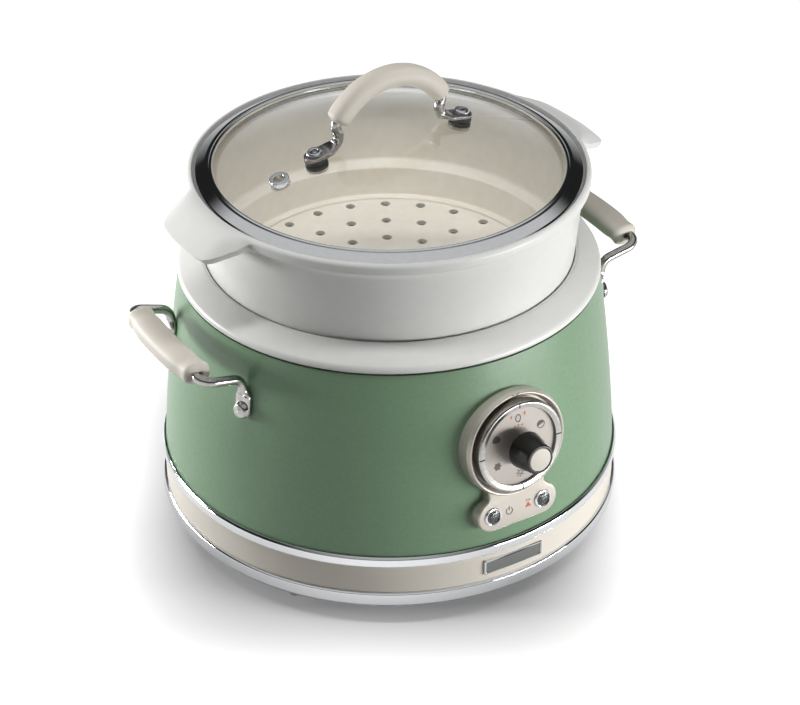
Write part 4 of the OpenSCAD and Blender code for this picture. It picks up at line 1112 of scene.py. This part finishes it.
    @staticmethod
    def rays(x: float, y: float, count: int, inner: float, outer: float) -> list[list[Point2]]:
        """Makes short rays round a point.

        Args:
            x: The point.
            y: The point.
            count: Number of rays.
            inner: Radius where they start.
            outer: Radius where they end.

        Returns:
            Outlines of the rays.
        """
        rays, half = [], 0.3
        corners = ((inner, -half), (outer, -half), (outer, half), (inner, half))
        for i in range(count):
            a = 2 * math.pi * i / count
            c, s = math.cos(a), math.sin(a)
            rays.append([(x + r * c - w * s, y + r * s + w * c) for r, w in corners])
        return rays

    def print_bezel(self) -> None:
        """Prints the pointer, the on symbol and the heat symbol on the bezel."""
        top, half, drop, line = 32.0, 2.8, 1.9, 0.75
        tip, crook = (0, top - drop), (0, top - drop + line)
        left = [(-half, top), tip, crook, (-half + line, top)]
        right = [tip, (half, top), (half - line, top), crook]
        self.mark("bezel_pointer", [left, right], self.bezel_z - self.ink, GREY_INK, Body.BASE)
        x, y = -self.lamp_x + 11.0, self.lamp_y
        power = self.ring(x, y, 2.4, 1.9, 125, 415)
        power.append(self.moved(outline_rect(0.5, 2.6, 0.2, 2), x, y + 1.7))
        self.mark("bezel_on_symbol", power, self.lobe_z, GREY_INK, Body.BASE)
        x = self.lamp_x - 10.0
        flame = [(x - 2.1, y - 1.7), (x + 2.1, y - 1.7), (x, y + 1.6)]
        self.mark("bezel_heat_symbol", [flame], self.lobe_z, ORANGE_INK, Body.BASE)
        waves = [self.moved(outline_rect(0.45, 1.2, 0.2, 2), x + off, y + 2.7) for off in (-1.2, 0, 1.2)]
        self.mark("bezel_heat_waves", waves, self.lobe_z, GREY_INK, Body.BASE)


@dataclass
class SideHandles:
    """Two chrome rods with flattened tabs, each through a cream grip."""

    tab_z: float = 124.0
    tab_tilt: float = 7.288
    shell_r_tab: float = 129.76
    tab_turn: float = 19.5
    tab_half: float = 5.25
    tab_half_t: float = 1.4
    tab_out: float = 1.55
    rod_out: float = 3.25
    rod_r: float = 2.8
    grip_x: float = 149.5
    grip_z: float = 151.5
    grip_len: float = 75.0
    grip_half_w: float = 8.5
    grip_half_h: float = 6.75
    grip_round: float = 4.2
    grip_bow: float = 2.6
    grip_neck: float = 0.09
    corner_y: float = 46.5
    bend: float = 8.0
    tab_bend: float = 6.0
    tab_change: Point2 = (13.0, 20.0)

    def build(self) -> None:
        """Builds both handles and dresses their screws."""
        for side in Side:
            word = side.name.lower()
            self.rod(side, f"{word}_handle_rod", f"{word}_handle_bracket")
            self.grip(side, f"{word}_grip", f"{word}_handle_grip")
        paint(STAMPED_CHROME, "handle_screws")

    def tab_point(self, down: float, out: float) -> Vector:
        """Gives a point on the tab's middle line on the right side, towards +Y.

        Args:
            down: Distance below the screw.
            out: Distance from the shell.

        Returns:
            The point.
        """
        tilt, turn = math.radians(self.tab_tilt), math.radians(self.tab_turn)
        r = self.shell_r_tab + out * math.cos(tilt) + down * math.sin(tilt)
        z = self.tab_z + out * math.sin(tilt) - down * math.cos(tilt)
        return Vector((r * math.cos(turn), r * math.sin(turn), z))

    def rod(self, side: Side, name: str, node: str) -> None:
        """Builds one rod from tab to tab.

        Args:
            side: The handle's side.
            name: The piece's name.
            node: The CAD node that it stands for.
        """
        points = [
            self.tab_point(self.tab_half, self.tab_out),
            self.tab_point(-9.0, self.tab_out),
            self.tab_point(-14.5, self.rod_out),
            self.tab_point(-20.0, self.rod_out),
            Vector((self.grip_x, self.corner_y, self.grip_z)),
            Vector((self.grip_x, 0.0, self.grip_z)),
        ]
        path = bent_path(points, [self.tab_bend, self.tab_bend, self.bend, self.bend], step=0.7)
        turn, flat = math.radians(self.tab_turn), (self.tab_half, self.tab_half_t)
        across = Vector((-math.sin(turn), math.cos(turn), 0.0))
        rings = sweep(path, across, lambda run: flattened_rod(run, flat, self.rod_r, self.tab_change), count=24)
        mirrored = [[Vector((p.x, -p.y, p.z)) for p in ring] for ring in reversed(rings[:-1])]
        whole = self.matched([*rings, *[[ring[0], *reversed(ring[1:])] for ring in mirrored]])
        if side is Side.LEFT:
            whole = [[Vector((-p.x, p.y, p.z)) for p in ring] for ring in whole]
        make(name, tube(whole), STAMPED_CHROME, Body.BASE, [node])

    @staticmethod
    def matched(rings: list[list[Vector]]) -> list[list[Vector]]:
        """Turns each ring's order so that its points run on from the ring before.

        Args:
            rings: Rings of one length.

        Returns:
            The same rings in their new order.
        """
        out = [rings[0]]
        for ring in rings[1:]:
            last, back = out[-1], [ring[0], *reversed(ring[1:])]
            orders = [way[k:] + way[:k] for way in (ring, back) for k in range(len(ring))]
            out.append(min(orders, key=lambda order: sum((a - b).length_squared for a, b in zip(order, last))))
        return out

    def grip(self, side: Side, name: str, node: str) -> None:
        """Builds one grip: a full bar with soft ends.

        Args:
            side: The handle's side.
            name: The piece's name.
            node: The CAD node that it stands for.
        """
        half, lip = self.grip_len / 2, self.grip_round
        steps, end_steps = 30, 8
        ends = [lip * (1 - math.cos(math.pi / 2 * i / end_steps)) for i in range(end_steps)]
        # Rows as the place along the bar and the share of its width; shares under 1 line the mouth at its end
        mouth = ((2.6, 0.36), (0.9, 0.38), (0.2, 0.5), (0.0, 0.66))
        rows = [(half - deep, share) for deep, share in mouth]
        rows += [(half - e, 1.0) for e in ends]
        inner = half - lip
        rows += [(inner - 2 * inner * i / steps, 1.0) for i in range(steps + 1)]
        rows += [(-y, share) for y, share in reversed(rows[: len(mouth) + end_steps])]
        rings = []
        for y, share in rows:
            short = max(0.0, abs(y) - inner) if share == 1.0 else lip
            inset = lip - math.sqrt(max(0.0, lip**2 - short**2)) if share == 1.0 else 0.0
            loop = oval(self.grip_half_w - 0.15 - inset, self.grip_half_h - 0.1 - inset, 2.7, 36)
            neck = 1 - self.grip_neck * math.exp(-(((half - abs(y) - 9.0) / 5.0) ** 2))
            loop = [(x * neck, z * neck) for x, z in loop]
            x_mid = self.grip_x - self.grip_bow * (y / half) ** 2
            if share < 1.0:
                loop = [(x * share * 0.62, z * share * 0.62) for x, z in loop]
            rings.append([Vector((side.value * (x_mid + x), y, self.grip_z + z)) for x, z in loop])
        make(name, tube(rings), CREAM_ABS, Body.BASE, [node], angle=50)


@dataclass
class SteamerBasket:
    """The white basket: wall, lip, two drooping wings and a floor with steam holes."""

    floor_z: float = 150.0
    rim_z: float = 167.5
    top_z: float = 227.0
    seat_z: float = 222.5
    wall: float = 2.5
    foot_r: float = 108.5
    upper_r: float = 113.0
    lip_r: float = 117.0
    lip_z: float = 220.5
    seat_r: float = 114.2
    insert_r: float = 101.2
    insert_foot_r: float = 99.0
    wing_r: float = 137.0
    wing_half: float = 30.0
    wing_corner: float = 13.0
    wing_root_half: float = 37.0
    wing_root_r: float = 112.6
    wing_drop: float = 10.8
    wing_t: float = 4.0
    wing_edge: float = 2.0
    wing_slope: float = 0.78
    lip_round: float = 2.4
    blend: float = 5.0
    hole_r: float = 3.0
    hole_pitch: float = 21.0
    rings: int = 4

    def build(self) -> None:
        """Builds the basket's wall and its floor."""
        self.wall_piece()
        self.floor_piece()

    def reach(self, turn: float) -> float:
        """Gives the basket's outer radius at lip height.

        Args:
            turn: Turn from the side axis in radians.

        Returns:
            The lip's radius, or the wing's where there is one.
        """
        a = abs((turn + math.pi / 2) % math.pi - math.pi / 2)
        centre_y = self.wing_half - self.wing_corner
        centre_x = math.sqrt((self.wing_r - self.wing_corner) ** 2 - centre_y**2)
        root = Vector((self.wing_root_r, self.wing_root_half))
        centre = Vector((centre_x, centre_y))
        way = centre - root
        lean = math.asin(self.wing_corner / way.length)
        c, s = math.cos(lean), math.sin(lean)
        line = Vector((way.x * c - way.y * s, way.x * s + way.y * c)).normalized()
        normal = Vector((-line.y, line.x))
        ray = Vector((math.cos(a), math.sin(a)))
        facing = normal.dot(ray)
        far, soft = 400.0, 6.0
        side = min(far, normal.dot(root) / facing) if facing > 0.02 else far
        near = min(self.wing_r, side)
        gap = max(0.0, soft - abs(self.wing_r - side)) / soft
        tip = near - gap * gap * soft * 0.25
        grow = max(0.0, self.blend - abs(tip - self.lip_r)) / self.blend
        return max(tip, self.lip_r) + grow * grow * self.blend * 0.25

    def turns(self) -> list[float]:
        """Gives the columns' turns, closer together at the wings.

        Returns:
            The turns in radians.
        """
        turns, a = [], -90.0
        while a < 270.0 - 1e-6:
            near = abs((a + 90.0) % 180.0 - 90.0)
            turns.append(math.radians(a))
            a += 0.35 if near < 22.0 else 1.25
        return turns

    def column(self, turn: float) -> list[Point2]:
        """Gives the section at a turn, from the inner foot over the lip to the outer foot.

        Args:
            turn: Turn from the side axis in radians.

        Returns:
            Points as radius and height, the same number at every turn.
        """
        inside = rounded(
            [
                (self.insert_foot_r - self.wall - 6, self.floor_z + self.wall),
                (self.insert_foot_r - self.wall, self.floor_z + self.wall, 1.2),
                (self.insert_r - self.wall, self.rim_z + self.wall, 1.2),
                (self.foot_r - self.wall, self.rim_z + 2 * self.wall, 3.0),
                (self.upper_r - self.wall, self.seat_z, 0.6),
                (self.seat_r, self.seat_z),
                (self.seat_r, self.top_z, 0.4),
                (self.lip_r - 2.5, self.top_z),
            ],
            closed=False,
        )
        outside = rounded(
            [
                (self.lip_r, self.lip_z + 1.3),
                (self.lip_r, self.lip_z, 1.2),
                (self.upper_r, self.lip_z - 2, 6.0),
                (self.foot_r, self.rim_z, 0.6),
                (self.insert_r, self.rim_z),
                (self.insert_foot_r, self.floor_z, 3.0),
                (self.insert_foot_r - self.wall - 6, self.floor_z),
            ],
            closed=False,
        )
        wing = self.wing_section(self.reach(turn))
        return [(p[0], p[1]) for p in (*inside, *wing, *outside)]

    def wing_section(self, tip: float) -> list[Vector]:
        """Gives the lip's outer face, drawn out to a wing that reaches the tip radius.

        Args:
            tip: Radius of the wing's edge; the lip's own radius where there is no wing.

        Returns:
            Points as radius and height.
        """
        steps, lip_round = 12, self.lip_round
        out = tip - self.lip_r
        share = smooth_step(out, 0.0, 7.0)
        start = Vector((self.lip_r - lip_round, self.top_z))
        span = tip - start.x
        drop = self.wing_drop * out / (self.wing_r - self.lip_r)
        end = Vector((tip, self.top_z - 2.6 - drop * 0.89))
        slope = self.wing_slope * share
        handles = [
            start,
            start + Vector((span * 0.35, -0.05)),
            end + Vector((-span * 0.4, span * 0.4 * slope + 1.2 * (1 - share))),
            end,
        ]
        points = []
        for i in range(1, steps + 1):
            t = i / steps
            weights = ((1 - t) ** 3, 3 * t * (1 - t) ** 2, 3 * t * t * (1 - t), t**3)
            flat = sum((h * w for h, w in zip(handles, weights)), Vector((0.0, 0.0)))
            quarter = math.pi / 2 * t
            lip = Vector((self.lip_r - lip_round, self.top_z - lip_round))
            lip += Vector((math.sin(quarter), math.cos(quarter))) * lip_round
            points.append(lip.lerp(flat, share))
        thick = self.wing_t * (1 - 0.15 * share)
        lower = points[-1] + Vector((-self.wing_edge * share, -thick * share - 0.4 * (1 - share)))
        round_mid = points[-1].lerp(lower, 0.5) + Vector((0.5 * share, -0.2 * share))
        points += [points[-1].lerp(round_mid, 0.6) + Vector((0.25 * share, 0.0)), round_mid, lower]
        root = Vector((self.lip_r - 0.2 * share, self.lip_z + 1.6))
        for i in range(1, steps + 1):
            t = i / steps
            sag = math.sin(math.pi * t) * 1.6 * share
            points.append(lower.lerp(root, t) + Vector((0.0, sag)))
        return points

    def wall_piece(self) -> None:
        """Builds the wall, lip and wings in one skin."""
        rings = []
        for turn in self.turns():
            c, s = math.cos(turn), math.sin(turn)
            rings.append([Vector((r * c, r * s, z)) for r, z in self.column(turn)])
        shape = skin(rings, True, False)
        piece = make("basket_wall", shape, WHITE_POLYPROPYLENE, Body.STEAMER, ["steamer_basket"], angle=46)
        mesh = piece.data
        # Inner faces below the seat take the brighter copy of the plastic: painted light inside the basket
        mesh.materials.append(PAINTED_LIGHT_POLYPROPYLENE.material())
        for face in mesh.polygons:
            middle = face.center / MM
            inward = face.normal.x * middle.x + face.normal.y * middle.y < 0 or face.normal.z > 0.5
            face.material_index = int(inward and middle.z < self.seat_z and middle.xy.length < self.seat_r)

    def floor_piece(self) -> None:
        """Builds the floor with its rings of steam holes."""
        edge = self.insert_foot_r - self.wall - 5.5
        loops = [[(edge * math.cos(a), edge * math.sin(a)) for a in self.circle(120)]]
        for x, y in self.holes():
            loops.append([(x + self.hole_r * math.cos(b), y + self.hole_r * math.sin(b)) for b in self.circle(16)])
        points = [Vector(p) for loop in loops for p in loop]
        edges, first = [], 0
        for loop in loops:
            edges += [(first + i, first + (i + 1) % len(loop)) for i in range(len(loop))]
            first += len(loop)
        flat, _, cells, *_ = delaunay_2d_cdt(points, edges, [], 1, 1e-5)
        kept = [cell for cell in cells if self.in_floor([flat[i] for i in cell])]
        count = len(flat)
        low, high = self.floor_z, self.floor_z + self.wall
        vertices = [Vector((p.x, p.y, z)) for z in (low, high) for p in flat]
        faces: Faces = [tuple(reversed(cell)) for cell in kept]
        faces += [tuple(count + i for i in cell) for cell in kept]
        faces += [(a, b, count + b, count + a) for a, b in edges]
        # The floor takes the brighter copy of the plastic: painted light
        make("basket_floor", (vertices, faces), PAINTED_LIGHT_POLYPROPYLENE, Body.STEAMER)

    def holes(self) -> list[Point2]:
        """Gives the steam holes' middles: one in the centre and rings of six, twelve and so on round it.

        Returns:
            The middles.
        """
        middles = []
        for ring in range(self.rings + 1):
            r = ring * self.hole_pitch
            for i in range(max(1, 6 * ring)):
                a = math.radians(60 * i / max(1, ring))
                middles.append((r * math.cos(a), r * math.sin(a)))
        return middles

    def in_floor(self, cell: Sequence[Vector]) -> bool:
        """Tells whether a cell of the floor lies outside every hole."""
        middle = sum(cell, Vector((0.0, 0.0))) / len(cell)
        return all((middle - Vector(hole)).length >= self.hole_r * 0.97 for hole in self.holes())

    @staticmethod
    def circle(count: int) -> list[float]:
        """Gives turns in radians round a circle."""
        return [2 * math.pi * i / count for i in range(count)]


@dataclass
class GlassLid:
    """The domed glass in its chrome rim, with the arched handle and the steam vent."""

    glass_r: float = 268.0
    glass_top: float = 246.504
    glass_t: float = 4.0
    under_gap: float = 0.1
    washer_t: float = 1.6
    rim_r: float = 113.5
    rim_z: float = 222.5
    post_x: float = 48.5
    arch_r: float = 40.3
    arch_z: float = 241.704
    arch_half: float = 59.0
    grip_half_w: float = 7.0
    grip_half_h: float = 6.3
    grip_round: float = 3.2
    rod_r: float = 3.0
    foot_half: float = 6.0
    foot_half_t: float = 1.3
    foot_out: float = 2.9
    foot_mid: float = 4.8
    foot_bend: float = 5.4
    bend: float = 5.0
    leg: float = 4.6
    flat_bend: float = 6.0
    foot_change: Point2 = (14.0, 22.0)

    def build(self) -> None:
        """Dresses the lid and builds its handle."""
        paint(TEMPERED_GLASS, "lid_glass")
        paint(CHROME, "vent_grommet")
        self.rim()
        self.rivets()
        paint(SILICONE, "lid_handle_washers")
        self.grip()
        self.rod()

    def rim(self) -> None:
        """Builds the rolled rim: a rounded outer edge, a broad slope, a groove and a bead against the glass."""
        low, r = self.rim_z, self.rim_r
        section = [
            (r, low, 0.4),
            (r, low + 2.3, 1.0),
            (r - 1.5, low + 3.7, 1.0),
            (r - 7.2, low + 6.0, 2.0),
            (r - 8.6, low + 6.1, 0.4),
            (r - 9.0, low + 6.0, 0.3),
            (r - 9.9, low + 6.5, 0.8),
            (r - 11.3, low + 6.2, 0.9),
            (r - 11.4, low + 4.1),
            (r - 6.0, low + 2.4),
            (r - 6.0, low),
        ]
        make("chrome_rim", revolve(section, count=240), CHROME, Body.LID, ["lid_rim"], angle=50)

    def rivets(self) -> None:
        """Builds the two tubular rivets of the handle, each through its foot, washers and glass."""
        under = -self.glass_t - self.under_gap - self.washer_t
        top = self.washer_t + self.foot_half_t * 2
        section = [
            (0.0, under - 1.8),
            (6.6, under - 1.8, 0.4),
            (6.6, under),
            (3.0, under),
            (3.0, top),
            (4.5, top),
            (4.7, top + 1.3, 0.5),
            (4.0, top + 2.2, 0.4),
            (2.3, top + 2.2, 0.3),
            (1.9, top + 0.2),
            (0.0, top + 0.2),
        ]
        tilt = math.asin(self.post_x / self.glass_r)
        for side in Side:
            foot = self.foot_point(0.0, 0.0)
            at = Matrix.Translation((side.value * foot.x, 0.0, foot.z)) @ Matrix.Rotation(side.value * tilt, 4, "Y")
            replaces = ["lid_handle_posts"] if side is Side.LEFT else []
            shape = revolve(section, False, count=48, place_in=at)
            make(f"rivet_{side.name.lower()}", shape, CHROME, Body.LID, replaces)

    def foot_point(self, along: float, out: float) -> Vector:
        """Gives a point at the right-hand foot.

        Args:
            along: Distance from the rivet along the glass, outward.
            out: Distance from the glass.

        Returns:
            The point.
        """
        tilt = math.asin(self.post_x / self.glass_r)
        height = self.glass_top - self.glass_r + math.sqrt(self.glass_r**2 - self.post_x**2)
        c, s = math.cos(tilt), math.sin(tilt)
        return Vector((self.post_x + along * c + out * s, 0.0, height - along * s + out * c))

    def arch_point(self, turn: float) -> Vector:
        """Gives a point on the arch's middle line, with the turn in degrees from the top."""
        a = math.radians(turn)
        return Vector((self.arch_r * math.sin(a), 0.0, self.arch_z + self.arch_r * math.cos(a)))

    def grip(self) -> None:
        """Builds the arched grip with soft ends."""
        half = math.radians(self.arch_half) * self.arch_r
        steps, end_steps = 56, 9
        runs = [-half + self.grip_round * (1 - math.cos(math.pi / 2 * i / end_steps)) for i in range(end_steps)]
        runs += [(-half + self.grip_round) + 2 * (half - self.grip_round) * i / steps for i in range(steps)]
        runs += [-r for r in reversed(runs[:end_steps])]
        rings = []
        for run in runs:
            turn = math.degrees(run / self.arch_r)
            centre = self.arch_point(turn)
            radial = Vector((math.sin(math.radians(turn)), 0.0, math.cos(math.radians(turn))))
            short = max(0.0, abs(run) - (half - self.grip_round))
            inset = self.grip_round - math.sqrt(max(0.0, self.grip_round**2 - short**2))
            loop = oval(self.grip_half_h - inset, self.grip_half_w - inset, 2.5, 32)
            rings.append([centre + radial * x + Vector((0.0, y, 0.0)) for x, y in loop])
        make("lid_grip", tube(rings), CREAM_ABS, Body.LID, ["lid_handle_grip"], angle=50)

    def rod(self) -> None:
        """Builds the rod's two legs from the flattened feet into the grip."""
        end = self.arch_point(self.arch_half)
        a = math.radians(self.arch_half)
        down = Vector((math.cos(a), 0.0, -math.sin(a)))
        points = [
            self.foot_point(6.6, self.foot_out),
            self.foot_point(-8.0, self.foot_out),
            self.foot_point(-15.5, self.foot_mid),
            self.foot_point(-22.0, self.foot_bend),
            end + down * self.leg,
            end - down * 4.0,
        ]
        path = bent_path(points, [self.flat_bend, self.flat_bend, self.bend, self.bend], step=0.6)
        across, flat = Vector((0.0, 1.0, 0.0)), (self.foot_half, self.foot_half_t)
        rings = sweep(path, across, lambda run: flattened_rod(run, flat, self.rod_r, self.foot_change), count=24)
        for side in Side:
            turned = [[Vector((side.value * p.x, p.y, p.z)) for p in ring] for ring in rings]
            name = f"lid_rod_{side.name.lower()}"
            replaces = ["lid_handle_rod"] if side is Side.LEFT else []
            make(name, tube(turned), STAMPED_CHROME, Body.LID, replaces)


@dataclass
class InnerWorks:
    """The pot and everything hidden in the base."""

    inlet_edge: float = 0.6
    press: float = 3.05

    def build(self) -> None:
        """Dresses the inner pieces and the appliance inlet."""
        paint(SPUN_ALUMINIUM, "inner_pot")
        paint(CAST_ALUMINIUM, "heating_plate", "thermostat_plunger")
        paint(ZINC_SHEET, "bottom_plate", "inner_liner")
        paint(
            BRIGHT_STEEL,
            "foot_screws",
            "liner_standoffs",
            "standoff_screws",
            "plate_posts",
            "thermostat_housing",
            "board_screws",
            "dial_shaft",
            "handle_nuts",
            "heating_element",
        )
        paint(GLASS_FIBRE, "control_board")
        paint(BLACK_PHENOLIC, "selector_switch")
        paint(CERAMIC, "thermal_fuse")
        paint(LEAD_SILICONE, "internal_wiring")
        paint(PLATED_BRASS, "inlet_pins")
        soften("power_inlet", "appliance_inlet", BLACK_PHENOLIC, Body.BASE, self.inlet_edge)
        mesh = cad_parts["thermostat_spring"].data.copy()
        mesh.name = "sensor_spring"
        spring = place("sensor_spring", mesh, BRIGHT_STEEL, Body.BASE, ["thermostat_spring"])
        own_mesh(spring)


@dataclass(frozen=True)
class Softbox:
    """A rectangular lamp that looks at the cooker, at a turn to the right of the camera."""

    name: str
    turn: float
    away: float
    height: float
    size: Point2
    power: float
    mirrored: bool = True

    def hang(self, right: Vector, ahead: Vector, aim_z: float) -> None:
        """Hangs the lamp.

        Args:
            right: Level direction to the camera's right.
            ahead: Level direction away from the camera.
            aim_z: Height that the lamp looks at.
        """
        data = bpy.data.lights.new(self.name, "AREA")
        data.shape = "RECTANGLE"
        data.size, data.size_y = self.size
        data.energy = self.power
        lamp = bpy.data.objects.new(self.name, data)
        a = math.radians(self.turn)
        level = (right * math.sin(a) - ahead * math.cos(a)) * self.away
        lamp.location = Vector((level.x, level.y, self.height))
        aim = Vector((0.0, 0.0, aim_z)) - lamp.location
        lamp.rotation_euler = aim.to_track_quat("-Z", "Y").to_euler()
        lamp.visible_glossy = self.mirrored
        bpy.context.scene.collection.objects.link(lamp)


@dataclass
class Studio:
    """Camera, softboxes, world and the white floor, in metres, degrees and watts."""

    azimuth: float = -31.6
    elevation: float = 32.74
    distance: float = 1.5
    target_z: float = 0.0965
    lens: float = 111.4
    shift_x: float = 0.0136
    sensor: float = 36.0
    boxes: tuple[Softbox, ...] = (
        Softbox("left_softbox", -101.0, 0.75, 0.2, (0.5, 0.1), 5.2),
        Softbox("right_softbox", 63.0, 0.75, 0.06, (0.5, 0.1), 4.2),
        Softbox("top_softbox", 0.0, 0.18, 1.35, (1.6, 0.16), 12.5, mirrored=False),
    )
    aim_z: float = 0.1
    ambient: float = 0.024
    low_room: Span = (0.02, 0.3, 0.6, 0.016)
    high_room: Span = (0.54, 0.7, 0.0, 0.6)
    floor_half: float = 4.0
    floor_colour: str = "#A0A0A0"
    floor_roughness: float = 0.9
    # The floor's glow is lowered round the cooker in a shifted superellipse: a painted shadow
    floor_glow_painted_shadow: Span = (0.5, 1.22, 0.16, 1.0)
    shade_half: Point2 = (0.150, 0.175)
    shade_left: float = 0.01
    mirrored: float = 0.75

    def build(self) -> None:
        """Sets up the studio."""
        scene = bpy.context.scene
        scene.view_settings.view_transform = "Standard"
        self.camera(scene)
        for box in self.boxes:
            box.hang(*self.bearings(), self.aim_z)
        self.world(scene)
        self.floor()

    def bearings(self) -> tuple[Vector, Vector]:
        """Gives the level directions of the view.

        Returns:
            The direction to the camera's right and the one away from the camera.
        """
        a = math.radians(self.azimuth)
        ahead = Vector((-math.sin(a), math.cos(a), 0.0))
        return Vector((ahead.y, -ahead.x, 0.0)), ahead

    def camera(self, scene: bpy.types.Scene) -> None:
        """Places the camera at the photograph's angle.

        Args:
            scene: The scene that takes it.
        """
        _, ahead = self.bearings()
        rise = math.radians(self.elevation)
        target = Vector((0.0, 0.0, self.target_z))
        away = -ahead * math.cos(rise) + Vector((0.0, 0.0, math.sin(rise)))
        data = bpy.data.cameras.new("camera")
        data.lens = self.lens
        data.sensor_width = self.sensor
        data.shift_x = self.shift_x
        camera = bpy.data.objects.new("camera", data)
        camera.location = target + away * self.distance
        camera.rotation_euler = (-away).to_track_quat("-Z", "Y").to_euler()
        scene.collection.objects.link(camera)
        scene.camera = camera

    def world(self, scene: bpy.types.Scene) -> None:
        """Makes a dim room that the camera sees as a white backdrop.

        Args:
            scene: The scene that takes it.
        """
        world = bpy.data.worlds.new("studio")
        scene.world = world
        tree = empty_tree(world)
        path = add_node(tree, "ShaderNodeLightPath")
        seen = add_node(
            tree,
            "ShaderNodeMath",
            {"operation": "MAXIMUM"},
            {0: path.outputs["Is Camera Ray"], 1: path.outputs["Is Transmission Ray"]},
        )
        place_at = add_node(tree, "ShaderNodeTexCoord")
        height = add_node(tree, "ShaderNodeSeparateXYZ", inputs={0: place_at.outputs["Generated"]})
        # Polished pieces mirror a room that is bright by the floor, dark at eye level and bright above
        low, high = (
            add_node(
                tree,
                "ShaderNodeMapRange",
                {"interpolation_type": kind},
                {"Value": height.outputs[2], **dict(zip(RANGE, span))},
            )
            for kind, span in (("LINEAR", self.low_room), ("SMOOTHSTEP", self.high_room))
        )
        room = add_node(tree, "ShaderNodeMath", {"operation": "ADD"}, {0: low.outputs[0], 1: high.outputs[0]})
        glossy = add_node(
            tree,
            "ShaderNodeMix",
            {"data_type": "FLOAT"},
            {"Factor": path.outputs["Is Glossy Ray"], 2: self.ambient, 3: room.outputs[0]},
        )
        level = add_node(
            tree,
            "ShaderNodeMix",
            {"data_type": "FLOAT"},
            {"Factor": seen.outputs[0], 2: glossy.outputs[0], 3: 1.0},
        )
        white = (1.0, 1.0, 1.0, 1.0)
        back = add_node(tree, "ShaderNodeBackground", inputs={"Color": white, "Strength": level.outputs[0]})
        add_node(tree, "ShaderNodeOutputWorld", inputs={"Surface": back.outputs[0]})

    def floor(self) -> None:
        """Lays a white floor that keeps the cooker's cast shadow and carries a painted shadow round it."""
        half = self.floor_half
        mesh = bpy.data.meshes.new("floor")
        mesh.from_pydata([(-half, -half, 0), (half, -half, 0), (half, half, 0), (-half, half, 0)], [], [(0, 1, 2, 3)])
        floor = bpy.data.objects.new("floor", mesh)
        bpy.context.scene.collection.objects.link(floor)
        material = bpy.data.materials.new("white_sweep")
        tree = empty_tree(material)
        shader = add_node(
            tree,
            "ShaderNodeBsdfPrincipled",
            inputs={
                "Base Color": linear(self.floor_colour),
                "Roughness": self.floor_roughness,
                "Specular IOR Level": 0.0,
                "Emission Color": (1.0, 1.0, 1.0, 1.0),
                "Emission Strength": self.floor_level(tree),
            },
        )
        add_node(tree, "ShaderNodeOutputMaterial", inputs={"Surface": shader.outputs["BSDF"]})
        mesh.materials.append(material)

    def floor_level(self, tree: bpy.types.NodeTree) -> bpy.types.NodeSocket:
        """Works out the floor's glow: lowered round the cooker as a painted shadow, white beyond, and only where it is
        seen.

        Args:
            tree: The floor's node tree.

        Returns:
            The glow's strength.
        """
        place_at = add_node(tree, "ShaderNodeTexCoord")
        turned = add_node(
            tree,
            "ShaderNodeVectorRotate",
            {"rotation_type": "Z_AXIS"},
            {"Vector": place_at.outputs["Object"], "Angle": -math.radians(self.azimuth)},
        )
        steps = (("ADD", (self.shade_left, 0.0, 0.0)), ("DIVIDE", (*self.shade_half, 1.0)))
        share = turned
        for operation, value in steps:
            share = add_node(tree, "ShaderNodeVectorMath", {"operation": operation}, {0: share.outputs[0], 1: value})
        square = add_node(
            tree, "ShaderNodeVectorMath", {"operation": "MULTIPLY"}, {0: share.outputs[0], 1: share.outputs[0]}
        )
        reach = add_node(tree, "ShaderNodeVectorMath", {"operation": "LENGTH"}, {0: square.outputs[0]})
        glow = add_node(
            tree,
            "ShaderNodeMapRange",
            inputs={"Value": reach.outputs["Value"], **dict(zip(RANGE, self.floor_glow_painted_shadow))},
        )
        path = add_node(tree, "ShaderNodeLightPath")
        level = add_node(
            tree, "ShaderNodeMath", {"operation": "MULTIPLY"}, {0: path.outputs["Is Glossy Ray"], 1: self.mirrored}
        )
        for ray in ("Is Camera Ray", "Is Transmission Ray"):
            level = add_node(
                tree, "ShaderNodeMath", {"operation": "MAXIMUM"}, {0: level.outputs[0], 1: path.outputs[ray]}
            )
        level = add_node(tree, "ShaderNodeMath", {"operation": "MULTIPLY"}, {0: glow.outputs[0], 1: level.outputs[0]})
        return level.outputs[0]


def main() -> None:
    """Builds the cooker and its studio."""
    logging.basicConfig(level=logging.INFO, format="%(message)s")
    for part in (Studio(), HeatedBase(), ControlPanel(), SideHandles(), SteamerBasket(), GlassLid(), InnerWorks()):
        log.info("building %s", type(part).__name__)
        part.build()


if __name__ == "__main__":
    main()
